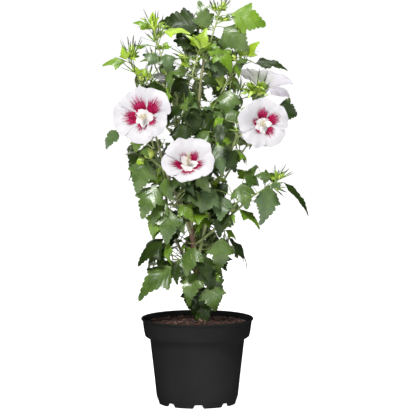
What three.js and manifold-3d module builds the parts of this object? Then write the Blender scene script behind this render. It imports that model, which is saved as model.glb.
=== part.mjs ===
// A hibiscus shrub in its nursery pot.
// Millimetres, +Z up, the front faces -Y. The origin is the middle of the pot's flat underside.
// Azimuths are degrees from +X towards +Y, climbs are degrees above the horizontal.

import * as THREE from 'three';
import { mergeVertices } from 'three/addons/utils/BufferGeometryUtils.js';
import Module from 'manifold-3d';

const wasm = await Module();
wasm.setup();

// Clearance between neighbouring pieces, and the finest detail that a fused piece keeps
const CLEAR = 0.3;
const FINEST = 0.03;

// Pot: thin-walled nursery pot with a stepped foot, a tapered body and a deep rim band
const POT = {
  footRadius: 66.2, footTopRadius: 67.6, footHeight: 6.8,
  bodyLowRadius: 69.9, bodyLowHeight: 12.5,
  bodyTopRadius: 81, bodyTopHeight: 111,
  bandStepRadius: 83.2, bandStepHeight: 113.2,
  bandLowRadius: 90, bandLowHeight: 118,
  bandTopRadius: 93.8, bandTopHeight: 143,
  lipRadius: 96.3, lipHeight: 148, lipDepth: 2.6,
  wall: 1.5, floorLow: 6.5, floorTop: 8.5,
  padRadius: 16, footWidth: 3.5,
  notches: 8, notchLow: 19, notchHigh: 12, notchHeight: 6.4, notchDepth: 16,
  turn: 2, sides: 28,
};

// Soil: fills the pot to a little under the rim and heaps up at the stem
const SOIL = { edgeHeight: 138, heapHeight: 142.5, heapRadius: 15, slopeReach: 0.55, slopeRise: 0.6 };

// Limbs: each starts on its parent's middle line, `along` it from 0 to 1, and runs through `via`
const LIMBS = {
  trunk: {
    via: [[9, 0, 142.8], [6, 0, 195], [-3, 0, 251], [-11, 0, 302]],
    thick: [6.8, 4.5], flare: 2.4, rings: 9, sides: 8,
  },
  leader: {
    from: 'trunk', along: 1, via: [[-9, 1, 355], [-2, 0, 439], [6, 0, 554], [12, 0, 589]],
    thick: [4.1, 1.9], rings: 9, sides: 7,
  },
  left_bough: {
    from: 'trunk', along: 0.9, via: [[-31, -14, 350], [-52, -30, 401], [-71, -42, 468]],
    thick: [3.2, 1.8], rings: 7, sides: 6,
  },
  right_bough: {
    from: 'trunk', along: 0.59, via: [[14, -6, 305], [29, -15, 362], [66, -35, 460]],
    thick: [3.3, 1.8], rings: 7, sides: 6,
  },
  low_right_bough: {
    from: 'trunk', along: 0.8, via: [[42, -22, 313], [93, -28, 360]],
    thick: [2.6, 1.8], rings: 5, sides: 6,
  },
  upper_left_bough: {
    from: 'leader', along: 0.2, via: [[-24, -9, 415], [-36, -12, 474], [-34, -12, 529]],
    thick: [2.8, 1.8], rings: 7, sides: 6,
  },
  upper_right_bough: {
    from: 'leader', along: 0.42, via: [[10, 4, 457], [27, 5, 507], [56, 8, 561]],
    thick: [2.7, 1.8], rings: 7, sides: 6,
  },
  front_bough: {
    from: 'leader', along: 0.1, via: [[-7, -22, 353], [-12, -44, 383]],
    thick: [2.4, 1.8], rings: 5, sides: 6,
  },
  back_left_bough: {
    from: 'trunk', along: 0.5, via: [[-25, 14, 257], [-46, 40, 305], [-55, 58, 357]],
    thick: [2.9, 1.8], rings: 6, sides: 6,
  },
  back_right_bough: {
    from: 'leader', along: 0.06, via: [[22, 28, 340], [52, 55, 390]],
    thick: [2.7, 1.8], rings: 5, sides: 6,
  },
  back_bough: {
    from: 'leader', along: 0.5, via: [[0, 26, 475], [4, 52, 510]],
    thick: [2.3, 1.8], rings: 5, sides: 6,
  },
};

// Leaf blade: half its outline as [along, half width], both in shares of its length
const LEAF = {
  rim: [[0.02, 0.03], [0.14, 0.25], [0.42, 0.39], [0.68, 0.19]],
  ribs: [0.34, 0.7],
  thick: 0.8, stalkThick: 0.9,
  stalkShare: 0.3, freeStalk: 0.6, turnSpread: 0.7, curl: [0.02, 0.2], fold: [-0.12, 0.22],
};

// Bloom: five broad petals on a short funnel, seen as one shell with a lobed edge
const BLOOM = {
  petals: 5, sides: 15, thick: 1, notch: 0.12, funnel: 0.2, middle: [0.6, 0.78],
  calyxRadius: 7, calyxLength: 10, calyxNeck: 4.2, columnRadius: 0.2, columnRoot: 0.25,
  columnLength: 0.45, columnShoulder: 0.27, cupDepth: 0.25,
};

// Buds: an egg, with its two widest rings as [share of half thickness, share of length]
const BUD = { rings: [[1, 0.3], [0.85, 0.65]], sides: 5 };

// Woody and green growth inside a mass, by its radius at each end
const STEM = { start: 1.8, end: 1.3, sides: 4, bentRings: 5 };
const TWIG = { start: 1.3, end: 0.9, sides: 3 };
const STALK = 1.1;

// Filling growth: leaves up the stem, then twigs, each turned from the last by the golden angle
const GOLDEN = 137.5;
const FACING_CLIMB = 35;
const FILL_SIZE = [0.8, 1.15];
const STEM_LEAVES = { low: 0.4, span: 0.6, start: 60, sweep: 200, climb: [10, 50], hang: [-60, 0] };
const TWIGS = { low: 0.45, span: 0.5, start: GOLDEN, sweep: 180, climb: [5, 50], reach: [0.8, 1.1] };

// The leaves of a twig: [along it, turn from its azimuth, share of the mass's leaf size]
const JOINTS = [[0.5, -65, 1], [0.8, 65, 1], [0.97, 0, 0.85]];
const JOINT_LEAF = { sway: [-20, 20], climb: [0, 40], hang: [-65, -10] };

// Masses: each grows on its limb, from `along` it, up a stem to `tip`.
// leaves: [along, azimuth, climb, stalk, hang, blade, roll]. The stalk runs at its climb, the blade
// at its hang, and roll turns the blade on its midrib.
// blooms: [along, azimuth, climb, stalk, facing azimuth, facing climb, width, cup].
// buds: [along, azimuth, climb, stalk, length, thickness].
// `open` is the side to which the leaves turn. Twigs and their leaves follow from the seed.
const MASSES = {
  leaves_bloom_left: {
    limb: 'left_bough', along: 1, tip: [-88, -48, 485], open: -110, seed: 3, twigs: 1, twigLeaf: 40,
    blooms: [[1, 30, 75, 11, -105, 14, 100, 0.25]],
    leaves: [[0.95, 180, -10, 48, -58, 40, 18], [0.7, -165, -40, 24, -85, 28],
      [0.3, 150, -30, 10, -30, 34]],
  },
  leaves_left: {
    limb: 'left_bough', along: 0.67, tip: [-78, -48, 427], open: -115, seed: 5, twigs: 1, twigLeaf: 46,
    buds: [[1, -120, 50, 3, 21, 18]],
    leaves: [[0.7, -155, 18, 18, -66, 58, -25], [0.45, -140, -76, 32, -58, 60, -22], [0.3, -70, -50, 20, -58, 40]],
  },
  leaves_left_inner: {
    limb: 'left_bough', along: 0.3, tip: [-50, -40, 347], open: -100, seed: 7, twigs: 2, twigLeaf: 46,
    leaves: [[0.7, -110, -40, 12, -70, 56], [0.9, -175, -35, 18, -65, 46], [0.35, -65, -70, 20, -50, 30],
      [0.45, -145, 35, 20, -42, 48], [0.85, -30, 5, 20, -42, 36]],
  },
  leaves_low_left: {
    limb: 'trunk', along: 0.64, tip: [-43, -20, 251], open: -120, seed: 12, twigs: 2, twigLeaf: 46,
    leaves: [[0.95, -175, 65, 40, -40, 64], [0.95, -130, 70, 30, -70, 34], [0.7, -160, -40, 16, -36, 80],
      [0.7, -105, -25, 12, -55, 34]],
  },
  leaves_low_front: {
    limb: 'trunk', along: 0.55, tip: [5, -26, 248], open: -90, seed: 13, twigs: 1, twigLeaf: 46,
    leaves: [[0.95, -130, 65, 30, -55, 50], [0.65, -130, -55, 16, -60, 54], [0.7, -30, -60, 38, -72, 48],
      [0.95, -65, 45, 18, -60, 43], [0.45, -8, -40, 26, -58, 46], [0.95, -40, -25, 12, -70, 46],
      [0.3, -152, -70, 36, -82, 40], [0.35, -38, -70, 36, -84, 40]],
  },
  leaves_low_right: {
    limb: 'right_bough', along: 0.18, tip: [44, -14, 276], open: -65, seed: 17, twigs: 1, twigLeaf: 46,
    leaves: [[0.95, -92, 35, 25, -76, 58], [0.9, 8, 38, 18, -47, 62, -14], [0.6, 30, -45, 16, -86, 38, 62]],
  },
  leaves_right: {
    limb: 'low_right_bough', along: 0.4, tip: [73, -38, 357], open: -90, seed: 19, twigs: 1, twigLeaf: 46,
    leaves: [[0.3, -98, 74, 44, -60, 44], [0.95, -70, 72, 30, -50, 46, 18], [0.8, -20, -45, 10, -28, 48, -48],
      [0.95, -155, 26, 48, -48, 46], [0.45, -125, 60, 12, -55, 44]],
  },
  leaves_right_tip: {
    limb: 'low_right_bough', along: 1, tip: [132, -30, 384], open: -80, seed: 23, twigs: 0, twigLeaf: 40,
    buds: [[1, 0, 45, 8, 16, 9], [0.75, 0, -15, 9, 13, 8]],
    leaves: [[0.78, -100, 8, 14, -76, 66], [0.55, 45, 75, 18, 15, 31], [0.95, -5, 5, 18, -46, 70, -66],
      [0.6, 155, 70, 38, -20, 30], [0.25, 160, 50, 30, 45, 26], [0.95, -160, 62, 12, 10, 25, -20]],
  },
  leaves_bloom_middle: {
    limb: 'front_bough', along: 1, tip: [-13, -60, 405], open: -95, seed: 29, twigs: 0, twigLeaf: 36,
    blooms: [[1, -110, 60, 7, -92, 38, 92, 0.55]],
    leaves: [[0.9, -145, 5, 14, -45, 32], [0.7, -35, 5, 18, -50, 34], [0.4, 160, 10, 14, -35, 40]],
  },
  leaves_centre_right: {
    limb: 'leader', along: 0.36, via: [22, -20, 430], tip: [42, -24, 479], open: -90, seed: 31,
    twigs: 2, twigLeaf: 48,
    leaves: [[0.95, -155, 75, 22, -8, 52], [0.7, -72, 0, 12, -62, 48], [0.65, -30, -10, 23, -58, 40],
      [0.95, 10, 60, 16, 40, 32]],
  },
  leaves_bloom_right: {
    limb: 'right_bough', along: 1, tip: [98, -40, 481], open: -70, seed: 37, twigs: 1, twigLeaf: 40,
    blooms: [[1, 25, 10, 14, -87, 12, 88, 0.3]],
    leaves: [[0.95, 15, 40, 50, -18, 44, 34], [0.5, 165, 50, 20, 55, 36], [0.15, -120, -60, 24, -60, 38]],
  },
  leaves_bloom_rear: {
    limb: 'right_bough', along: 0.88, via: [80, -6, 495], tip: [105, 2, 527], open: -60, seed: 107,
    twigs: 0, twigLeaf: 36,
    blooms: [[1, 15, 55, 8, 52, 64, 88, 0.5]],
    buds: [[0.8, -70, 42, 26, 24, 16]],
    leaves: [[0.55, 170, 45, 12, 30, 34]],
  },
  leaves_centre_left: {
    limb: 'upper_left_bough', along: 0.66, tip: [-22, -30, 507], open: -100, seed: 41, twigs: 1, twigLeaf: 42,
    leaves: [[0.95, -145, 55, 14, -40, 46], [0.95, -40, 35, 14, -60, 46], [0.5, -170, 10, 18, -40, 28],
      [0.6, -80, -20, 16, -65, 46]],
  },
  leaves_top_left: {
    limb: 'upper_left_bough', along: 1, via: [-52, -13, 570], tip: [-68, -15, 623], open: -105, seed: 43,
    twigs: 1, twigLeaf: 36,
    buds: [[1, 180, 78, 18, 20, 11], [1, 70, 50, 8, 14, 9]],
    leaves: [[0.15, -155, -10, 12, 14, 46], [0.7, -50, 60, 14, -62, 32], [0.6, -175, 40, 12, 35, 30],
      [0.88, 165, 25, 14, 4, 46, 62], [1, 180, 58, 26, 35, 28, 40], [0.95, -30, 65, 26, 5, 50, -36],
      [0.4, -25, 10, 10, -50, 40]],
  },
  leaves_far_left: {
    limb: 'upper_left_bough', along: 0.55, via: [-76, -18, 510], tip: [-112, -25, 589], open: -115, seed: 47,
    twigs: 2, twigLeaf: 36,
    buds: [[1, 0, 85, 6, 24, 13], [0.7, -40, 65, 20, 17, 9], [0.86, -60, -15, 10, 14, 8]],
    leaves: [[0.97, -172, 30, 12, 3, 40, 20], [0.95, -150, 45, 18, 62, 22], [0.6, 60, 15, 12, 10, 32],
      [0.8, 75, 40, 12, 40, 26]],
  },
  leaves_inner_top: {
    limb: 'leader', along: 0.76, via: [-8, -14, 565], tip: [3, -17, 605], open: -95, seed: 53,
    twigs: 1, twigLeaf: 34,
    buds: [[1, 0, 70, 14, 15, 8], [0.85, -165, 15, 20, 15, 8], [0.5, 145, -5, 40, 26, 12]],
    leaves: [[0.9, -60, 65, 16, 60, 34], [0.95, -170, 70, 18, 20, 36], [0.95, -10, 45, 18, -15, 32],
      [0.65, 180, 25, 10, 60, 24], [0.4, -10, -10, 16, -12, 32]],
  },
  leaves_top: {
    limb: 'leader', along: 1, tip: [37, 0, 668], open: -90, seed: 59, twigs: 1, twigLeaf: 36,
    buds: [[1, 0, 65, 10, 15, 9], [0.97, 180, 60, 10, 12, 7], [0.8, 0, 25, 14, 12, 7]],
    leaves: [[0.65, -155, 20, 14, 75, 47], [0.7, 180, 6, 28, 11, 68, -25], [0.95, -5, 12, 22, -13, 62, 15],
      [0.75, -18, -5, 16, -42, 56, 28], [0.3, -35, -20, 12, -30, 46], [0.5, 180, -20, 12, 5, 40]],
  },
  leaves_top_right: {
    limb: 'upper_right_bough', along: 1, tip: [86, 10, 592], open: -70, seed: 61, twigs: 1, twigLeaf: 38,
    buds: [[0.6, -150, 50, 12, 15, 9]],
    leaves: [[0.95, 5, -25, 16, 2, 56, -40], [0.85, -60, 50, 12, 50, 34], [0.6, 165, 45, 12, 45, 32],
      [0.15, -110, -60, 30, -62, 48], [0.4, -165, 40, 14, 5, 46]],
  },
  leaves_back_low_left: {
    limb: 'trunk', along: 0.45, tip: [-28, 38, 255], open: 125, seed: 67, twigs: 3, twigLeaf: 54, stemLeaves: 3,
  },
  leaves_back_low_right: {
    limb: 'trunk', along: 0.72, tip: [32, 38, 287], open: 55, seed: 71, twigs: 3, twigLeaf: 54, stemLeaves: 3,
  },
  leaves_back_left: {
    limb: 'back_left_bough', along: 1, tip: [-82, 52, 463], open: 120, seed: 73, twigs: 2, twigLeaf: 52,
    stemLeaves: 3, blooms: [[1, 150, 60, 14, 110, 18, 86, 0.3]],
  },
  leaves_back_right: {
    limb: 'back_right_bough', along: 1, tip: [97, 50, 457], open: 55, seed: 79, twigs: 2, twigLeaf: 52,
    stemLeaves: 3, blooms: [[1, 40, 60, 14, 75, 18, 84, 0.3]],
  },
  leaves_back_middle: {
    limb: 'back_bough', along: 1, tip: [-6, 78, 565], open: 90, seed: 83, twigs: 2, twigLeaf: 46,
    stemLeaves: 3,
  },
  leaves_back_top: {
    limb: 'leader', along: 0.9, tip: [12, 42, 633], open: 90, seed: 89, twigs: 3, twigLeaf: 38, stemLeaves: 3,
    buds: [[1, 90, 70, 12, 15, 9]],
  },
  leaves_back_high_left: {
    limb: 'upper_left_bough', along: 0.85, tip: [-72, 38, 577], open: 130, seed: 97, twigs: 2, twigLeaf: 42,
    stemLeaves: 3, buds: [[1, 130, 70, 12, 16, 9]],
  },
  leaves_back_high_right: {
    limb: 'upper_right_bough', along: 0.4, tip: [72, 55, 525], open: 45, seed: 101, twigs: 3, twigLeaf: 44,
    stemLeaves: 3,
  },
};

// Colours
const COLOURS = {
  pot: { color: 0x17191a, roughness: 0.5 },
  soil: { color: 0x35241a, roughness: 0.95 },
  bark: { color: 0x7a5a44, roughness: 0.85 },
  greenwood: { color: 0x74883f, roughness: 0.6 },
  foliage: { color: 0x2f6b2c, roughness: 0.45 },
};

const vec = (p) => new THREE.Vector3(p[0], p[1], p[2]);
const radians = THREE.MathUtils.degToRad;
const UP = new THREE.Vector3(0, 0, 1);

// Unit vector at an azimuth and a climb
function heading(azimuth, climb) {
  const a = radians(azimuth);
  const c = radians(climb);
  return new THREE.Vector3(Math.cos(a) * Math.cos(c), Math.sin(a) * Math.cos(c), Math.sin(c));
}

// Even draws from 0 to 1 that repeat for the same seed
function seeded(seed) {
  let state = seed * 7919;
  return () => {
    state = (state * 1664525 + 1013904223) % 4294967296;
    return state / 4294967296;
  };
}

const between = (draw, low, high) => low + (high - low) * draw();

// A solid from its points and triangles
function solid(points, triangles) {
  const vertProperties = new Float32Array(points.flatMap((p) => [p.x, p.y, p.z]));
  return new wasm.Manifold(new wasm.Mesh({ numProp: 3, vertProperties, triVerts: new Uint32Array(triangles) }));
}

// A solid from a three.js geometry
function solidOf(geometry) {
  const bare = geometry.index ? geometry.toNonIndexed() : geometry.clone();
  bare.deleteAttribute('normal');
  bare.deleteAttribute('uv');
  const merged = mergeVertices(bare, 1e-4);
  const index = Array.from(merged.index.array);
  const kept = [];
  for (let i = 0; i < index.length; i += 3) {
    const [a, b, c] = index.slice(i, i + 3);
    if (a !== b && b !== c && c !== a) kept.push(a, b, c);
  }
  const position = merged.getAttribute('position');
  const pointOf = (_, i) => new THREE.Vector3().fromBufferAttribute(position, i);
  return solid(Array.from({ length: position.count }, pointOf), kept);
}

// Revolve a profile of [radius, height] pairs round Z
function revolve(profile, sides) {
  const points = profile.map(([r, h]) => new THREE.Vector2(r, h));
  return solidOf(new THREE.LatheGeometry(points, sides).rotateX(Math.PI / 2));
}

// A round limb along a curve, with its radius given at each share of the way
function tube(curve, rings, sides, radiusAt, level = false) {
  const points = [];
  const triangles = [];
  let side = null;
  for (let i = 0; i < rings; i += 1) {
    const t = i / (rings - 1);
    const centre = curve.getPoint(t);
    const tangent = i === 0 && level ? UP.clone() : curve.getTangent(t);
    side = side || new THREE.Vector3(Math.abs(tangent.x) > 0.9 ? 0 : 1, Math.abs(tangent.x) > 0.9 ? 1 : 0, 0);
    side.addScaledVector(tangent, -side.dot(tangent)).normalize();
    const other = tangent.clone().cross(side);
    for (let k = 0; k < sides; k += 1) {
      const angle = (2 * Math.PI * k) / sides;
      points.push(centre.clone()
        .addScaledVector(side, radiusAt(t) * Math.cos(angle))
        .addScaledVector(other, radiusAt(t) * Math.sin(angle)));
    }
  }
  for (let i = 0; i < rings - 1; i += 1) {
    for (let k = 0; k < sides; k += 1) {
      const a = i * sides + k;
      const b = i * sides + ((k + 1) % sides);
      triangles.push(a, b, b + sides, a, b + sides, a + sides);
    }
  }
  for (let k = 1; k < sides - 1; k += 1) {
    const last = (rings - 1) * sides;
    triangles.push(0, k + 1, k, last, last + k, last + k + 1);
  }
  return solid(points, triangles);
}

const through = (points) => new THREE.CatmullRomCurve3(points, false, 'catmullrom', 0.5);

// The largest whole piece of a solid, with sealed hollows filled
function largest(body) {
  return body.decompose().reduce((best, one) => (one.volume() > best.volume() ? one : best));
}

// Pot

function makePot() {
  const p = POT;
  const profile = [
    [0, 0], [p.padRadius, 0], [p.padRadius, p.floorLow],
    [p.footRadius - p.footWidth, p.floorLow], [p.footRadius - p.footWidth, 0],
    [p.footRadius, 0], [p.footTopRadius, p.footHeight], [p.bodyLowRadius, p.bodyLowHeight],
    [p.bodyTopRadius, p.bodyTopHeight], [p.bandStepRadius, p.bandStepHeight],
    [p.bandLowRadius, p.bandLowHeight], [p.bandTopRadius, p.bandTopHeight],
    [p.lipRadius, p.lipHeight - p.lipDepth], [p.lipRadius, p.lipHeight],
    ...innerWall(0).reverse(), [0, p.floorTop],
  ];
  let pot = revolve(profile, p.sides);
  for (let i = 0; i < p.notches; i += 1) pot = pot.subtract(makeNotch((360 * i) / p.notches + p.turn));
  return largest(pot);
}

// Inside of the pot wall from the floor up, moved in by a clearance
function innerWall(clear) {
  const p = POT;
  const wall = p.wall + clear;
  return [
    [p.footTopRadius - wall, p.floorTop + wall], [p.bodyLowRadius - wall, p.bodyLowHeight + wall],
    [p.bodyTopRadius - wall, p.bodyTopHeight + wall], [p.bandStepRadius - wall, p.bandStepHeight + wall],
    [p.bandLowRadius - wall, p.bandLowHeight + wall], [p.bandTopRadius - wall, p.lipHeight],
  ];
}

// A drain notch in the foot, wider at the ground
function makeNotch(azimuth) {
  const p = POT;
  const outline = new THREE.Shape([
    new THREE.Vector2(-p.notchLow / 2, -1), new THREE.Vector2(p.notchLow / 2, -1),
    new THREE.Vector2(p.notchHigh / 2, p.notchHeight), new THREE.Vector2(-p.notchHigh / 2, p.notchHeight),
  ]);
  const block = new THREE.ExtrudeGeometry(outline, { depth: p.notchDepth, bevelEnabled: false });
  block.translate(0, 0, p.footRadius - p.notchDepth / 2);
  block.rotateX(Math.PI / 2);
  block.rotateZ(radians(azimuth));
  return solidOf(block);
}

// Soil

function makeSoil() {
  const wall = innerWall(CLEAR);
  const [low, high] = wall.slice(-2);
  const share = (SOIL.edgeHeight - low[1]) / (high[1] - low[1]);
  const edge = [low[0] + (high[0] - low[0]) * share, SOIL.edgeHeight];
  const rise = SOIL.heapHeight - SOIL.edgeHeight;
  return revolve([
    [0, POT.floorTop + CLEAR], ...wall.slice(0, -1), edge,
    [edge[0] * SOIL.slopeReach, SOIL.edgeHeight + rise * SOIL.slopeRise],
    [SOIL.heapRadius, SOIL.heapHeight], [0, SOIL.heapHeight],
  ], POT.sides);
}

// Limbs

function limbCurve(name) {
  const limb = LIMBS[name];
  const points = limb.via.map(vec);
  if (limb.from) points.unshift(limbCurve(limb.from).getPoint(limb.along));
  return through(points);
}

function limbSolid(name, grow = 0) {
  const limb = LIMBS[name];
  const [thick, thin] = limb.thick;
  const flare = limb.flare || 0;
  const radiusAt = (t) => thick + (thin - thick) * t + flare * Math.max(0, 1 - 5 * t) ** 2 + grow;
  return tube(limbCurve(name), limb.rings, limb.sides, radiusAt, !limb.from);
}

// A limb is cut clear of its parent and, near the fork, of its elder sister
function makeLimbs() {
  const bodies = {};
  Object.keys(LIMBS).forEach((name) => {
    let body = limbSolid(name);
    Object.keys(bodies).forEach((elder) => {
      if (body.minGap(bodies[elder], 1) < CLEAR) body = largest(body.subtract(clearOf(elder)));
    });
    bodies[name] = body.simplify(FINEST);
  });
  return bodies;
}

// The room round a limb that other pieces keep out of. It reaches past the limb's two ends.
function clearOf(name) {
  const curve = limbCurve(name);
  const cap = (t, way) => {
    const end = curve.getPoint(t);
    const reach = curve.getTangent(t).multiplyScalar(way * CLEAR);
    const radius = LIMBS[name].thick[t] + (t === 0 ? LIMBS[name].flare || 0 : 0) + 1.3 * CLEAR;
    const inner = end.clone().addScaledVector(reach, -1);
    return tube(new THREE.LineCurve3(inner, end.clone().add(reach)), 2, LIMBS[name].sides, () => radius);
  };
  return wasm.Manifold.union([limbSolid(name, CLEAR), cap(0, -1), cap(1, 1)]);
}

// Leaves

// How a leaf is carried: its turn, the curl of its tip and the fold along its midrib
function leafHabit(draw) {
  const turn = new THREE.Vector3(draw() - 0.5, draw() - 0.5, draw() - 0.5).multiplyScalar(LEAF.turnSpread);
  return { turn, curl: between(draw, ...LEAF.curl), fold: between(draw, ...LEAF.fold) };
}

// A leaf on its stalk, as one closed solid. Its upper side turns towards `facing`.
function leafSolid(root, leaf, facing, habit) {
  const stalkWay = heading(leaf.azimuth, leaf.climb);
  const base = root.clone().addScaledVector(stalkWay, leaf.stalk);
  const along = heading(leaf.azimuth, leaf.hang);
  const up = facing.clone().add(habit.turn);
  up.addScaledVector(along, -up.dot(along)).normalize().applyAxisAngle(along, radians(leaf.roll));
  const across = along.clone().cross(up);
  const at = (t, w, lift) => base.clone()
    .addScaledVector(along, leaf.blade * t)
    .addScaledVector(across, leaf.blade * w)
    .addScaledVector(up, leaf.blade * (habit.fold * Math.abs(w) - habit.curl * t * t) + lift);
  const points = [];
  const ring = (list) => list.map((p) => points.push(p) - 1);
  const stalkUp = up.clone().addScaledVector(stalkWay, -up.dot(stalkWay)).normalize();
  const stalkSide = stalkWay.clone().cross(stalkUp);
  const foot = ring([
    root.clone().addScaledVector(stalkSide, -LEAF.stalkThick),
    root.clone().addScaledVector(stalkUp, LEAF.stalkThick),
    root.clone().addScaledVector(stalkSide, LEAF.stalkThick),
  ]);
  const left = ring(LEAF.rim.map(([t, w]) => at(t, -w, 0)));
  const right = ring(LEAF.rim.map(([t, w]) => at(t, w, 0)));
  const top = ring([LEAF.rim[0][0], ...LEAF.ribs].map((t) => at(t, 0, LEAF.thick)));
  const under = ring(LEAF.ribs.map((t) => at(t, 0, -LEAF.thick)));
  const [tip] = ring([at(1, 0, 0)]);
  const neck = [left[0], top[0], right[0]];
  const triangles = [foot[0], foot[2], foot[1], left[0], under[0], right[0]];
  for (let k = 0; k < 3; k += 1) {
    const next = (k + 1) % 3;
    triangles.push(foot[k], foot[next], neck[next], foot[k], neck[next], neck[k]);
  }
  const skin = (rim, rib, flip) => {
    const faces = [
      [rib[0], rim[0], rim[1]], [rib[0], rim[1], rim[2]], [rib[0], rim[2], rib[1]],
      [rib[1], rim[2], rim[3]], [rib[1], rim[3], tip],
    ];
    faces.forEach(([a, b, c]) => triangles.push(...(flip ? [a, c, b] : [a, b, c])));
  };
  triangles.push(top[0], top[1], left[0], top[0], right[0], top[1]);
  skin(left, top.slice(1), true);
  skin(right, top.slice(1), false);
  skin(left, under, false);
  skin(right, under, true);
  return solid(points, triangles);
}

// Blooms and buds

// A body of rings round an axis, closed by a point at each end. A ring is [radius, height, lobing].
function ringed(foot, way, rings, ends, sides) {
  const side = UP.clone().addScaledVector(way, -UP.dot(way)).normalize();
  const other = way.clone().cross(side);
  const at = (radius, height, angle) => foot.clone()
    .addScaledVector(way, height)
    .addScaledVector(side, radius * Math.cos(angle))
    .addScaledVector(other, radius * Math.sin(angle));
  const points = [at(0, ends[0], 0), at(0, ends[1], 0)];
  const loops = rings.map(([radius, height, lobing = 0]) => Array.from({ length: sides }, (_, k) => {
    const angle = (2 * Math.PI * k) / sides;
    const lobe = 1 - (lobing * (1 + Math.cos(BLOOM.petals * angle))) / 2;
    return points.push(at(radius * lobe, height, angle)) - 1;
  }));
  const triangles = [];
  const last = loops.length - 1;
  for (let k = 0; k < sides; k += 1) {
    const n = (k + 1) % sides;
    triangles.push(0, loops[0][n], loops[0][k], 1, loops[last][k], loops[last][n]);
    for (let j = 0; j < last; j += 1) {
      triangles.push(loops[j][k], loops[j][n], loops[j + 1][n], loops[j][k], loops[j + 1][n], loops[j + 1][k]);
    }
  }
  return solid(points, triangles);
}

// An open bloom: calyx, the back of the petals out to the rim, their face, and the column in the throat
function bloomSolid(root, stalkWay, bloom) {
  const face = heading(bloom.faceAzimuth, bloom.faceClimb);
  const base = root.clone().addScaledVector(stalkWay, bloom.stalk);
  const radius = bloom.width / 2;
  const depth = bloom.width * (BLOOM.funnel + bloom.cup * BLOOM.cupDepth);
  const column = radius * BLOOM.columnRadius;
  const [middle, rise] = BLOOM.middle;
  const rings = [
    [BLOOM.calyxNeck, -BLOOM.calyxLength], [BLOOM.calyxRadius, 0],
    [radius * middle, depth * rise - BLOOM.thick, BLOOM.notch / 2], [radius, depth, BLOOM.notch],
    [radius * middle, depth * rise + BLOOM.thick, BLOOM.notch / 2], [column, depth * BLOOM.columnRoot],
    [column, depth + radius * BLOOM.columnShoulder],
  ];
  const ends = [-BLOOM.calyxLength - STALK, depth + radius * BLOOM.columnLength];
  const stalk = tube(new THREE.LineCurve3(root, base), 2, 4, () => STALK);
  return [ringed(base, face, rings, ends, BLOOM.sides), stalk];
}

// An egg-shaped bud on its stalk
function budSolid(root, way, stalk, length, thickness) {
  const egg = BUD.rings.map(([out, up]) => [(thickness / 2) * out, stalk + length * up]);
  return ringed(root, way, [[STALK, 0], [STALK, stalk], ...egg], [-STALK / 2, stalk + length], BUD.sides);
}

// Masses

function stemCurve(mass) {
  const points = [limbCurve(mass.limb).getPoint(mass.along), vec(mass.tip)];
  if (mass.via) points.splice(1, 0, vec(mass.via));
  return through(points);
}

const taper = (size) => (t) => size.start + (size.end - size.start) * t;

// What a mass always has: its stem, blooms and buds
function firmPieces(mass) {
  const stem = stemCurve(mass);
  const pieces = [tube(stem, mass.via ? STEM.bentRings : 2, STEM.sides, taper(STEM))];
  (mass.blooms || []).forEach(([along, azimuth, climb, stalk, faceAzimuth, faceClimb, width, cup]) => {
    pieces.push(...bloomSolid(stem.getPoint(along), heading(azimuth, climb),
      { stalk, faceAzimuth, faceClimb, width, cup }));
  });
  (mass.buds || []).forEach(([along, azimuth, climb, stalk, length, thickness]) => {
    pieces.push(budSolid(stem.getPoint(along), heading(azimuth, climb), stalk, length, thickness));
  });
  return pieces;
}

// A leaf that may grow, with its blade alone for keeping it apart from its neighbours' blades
function leafShoot(root, [azimuth, climb, stalk, hang, blade, roll = 0], facing, habit) {
  const neck = root.clone().addScaledVector(heading(azimuth, climb), stalk * LEAF.freeStalk);
  const shape = { azimuth, climb, stalk, hang, blade, roll };
  return {
    solid: leafSolid(root, shape, facing, habit),
    blade: leafSolid(neck, { ...shape, stalk: stalk * (1 - LEAF.freeStalk) }, facing, habit),
    leaves: [],
  };
}

// The leaves that show: they have first call on the room
function showingLeaves(mass) {
  const stem = stemCurve(mass);
  const draw = seeded(mass.seed);
  const facing = heading(mass.open, FACING_CLIMB);
  return (mass.leaves || []).map(([along, ...leaf]) => (
    leafShoot(stem.getPoint(along), leaf, facing, leafHabit(draw))));
}

// The turn of the k-th shoot from the open side, within its sweep
const swing = ({ start, sweep }, k) => ((k * GOLDEN + start) % sweep) - sweep / 2;

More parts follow.
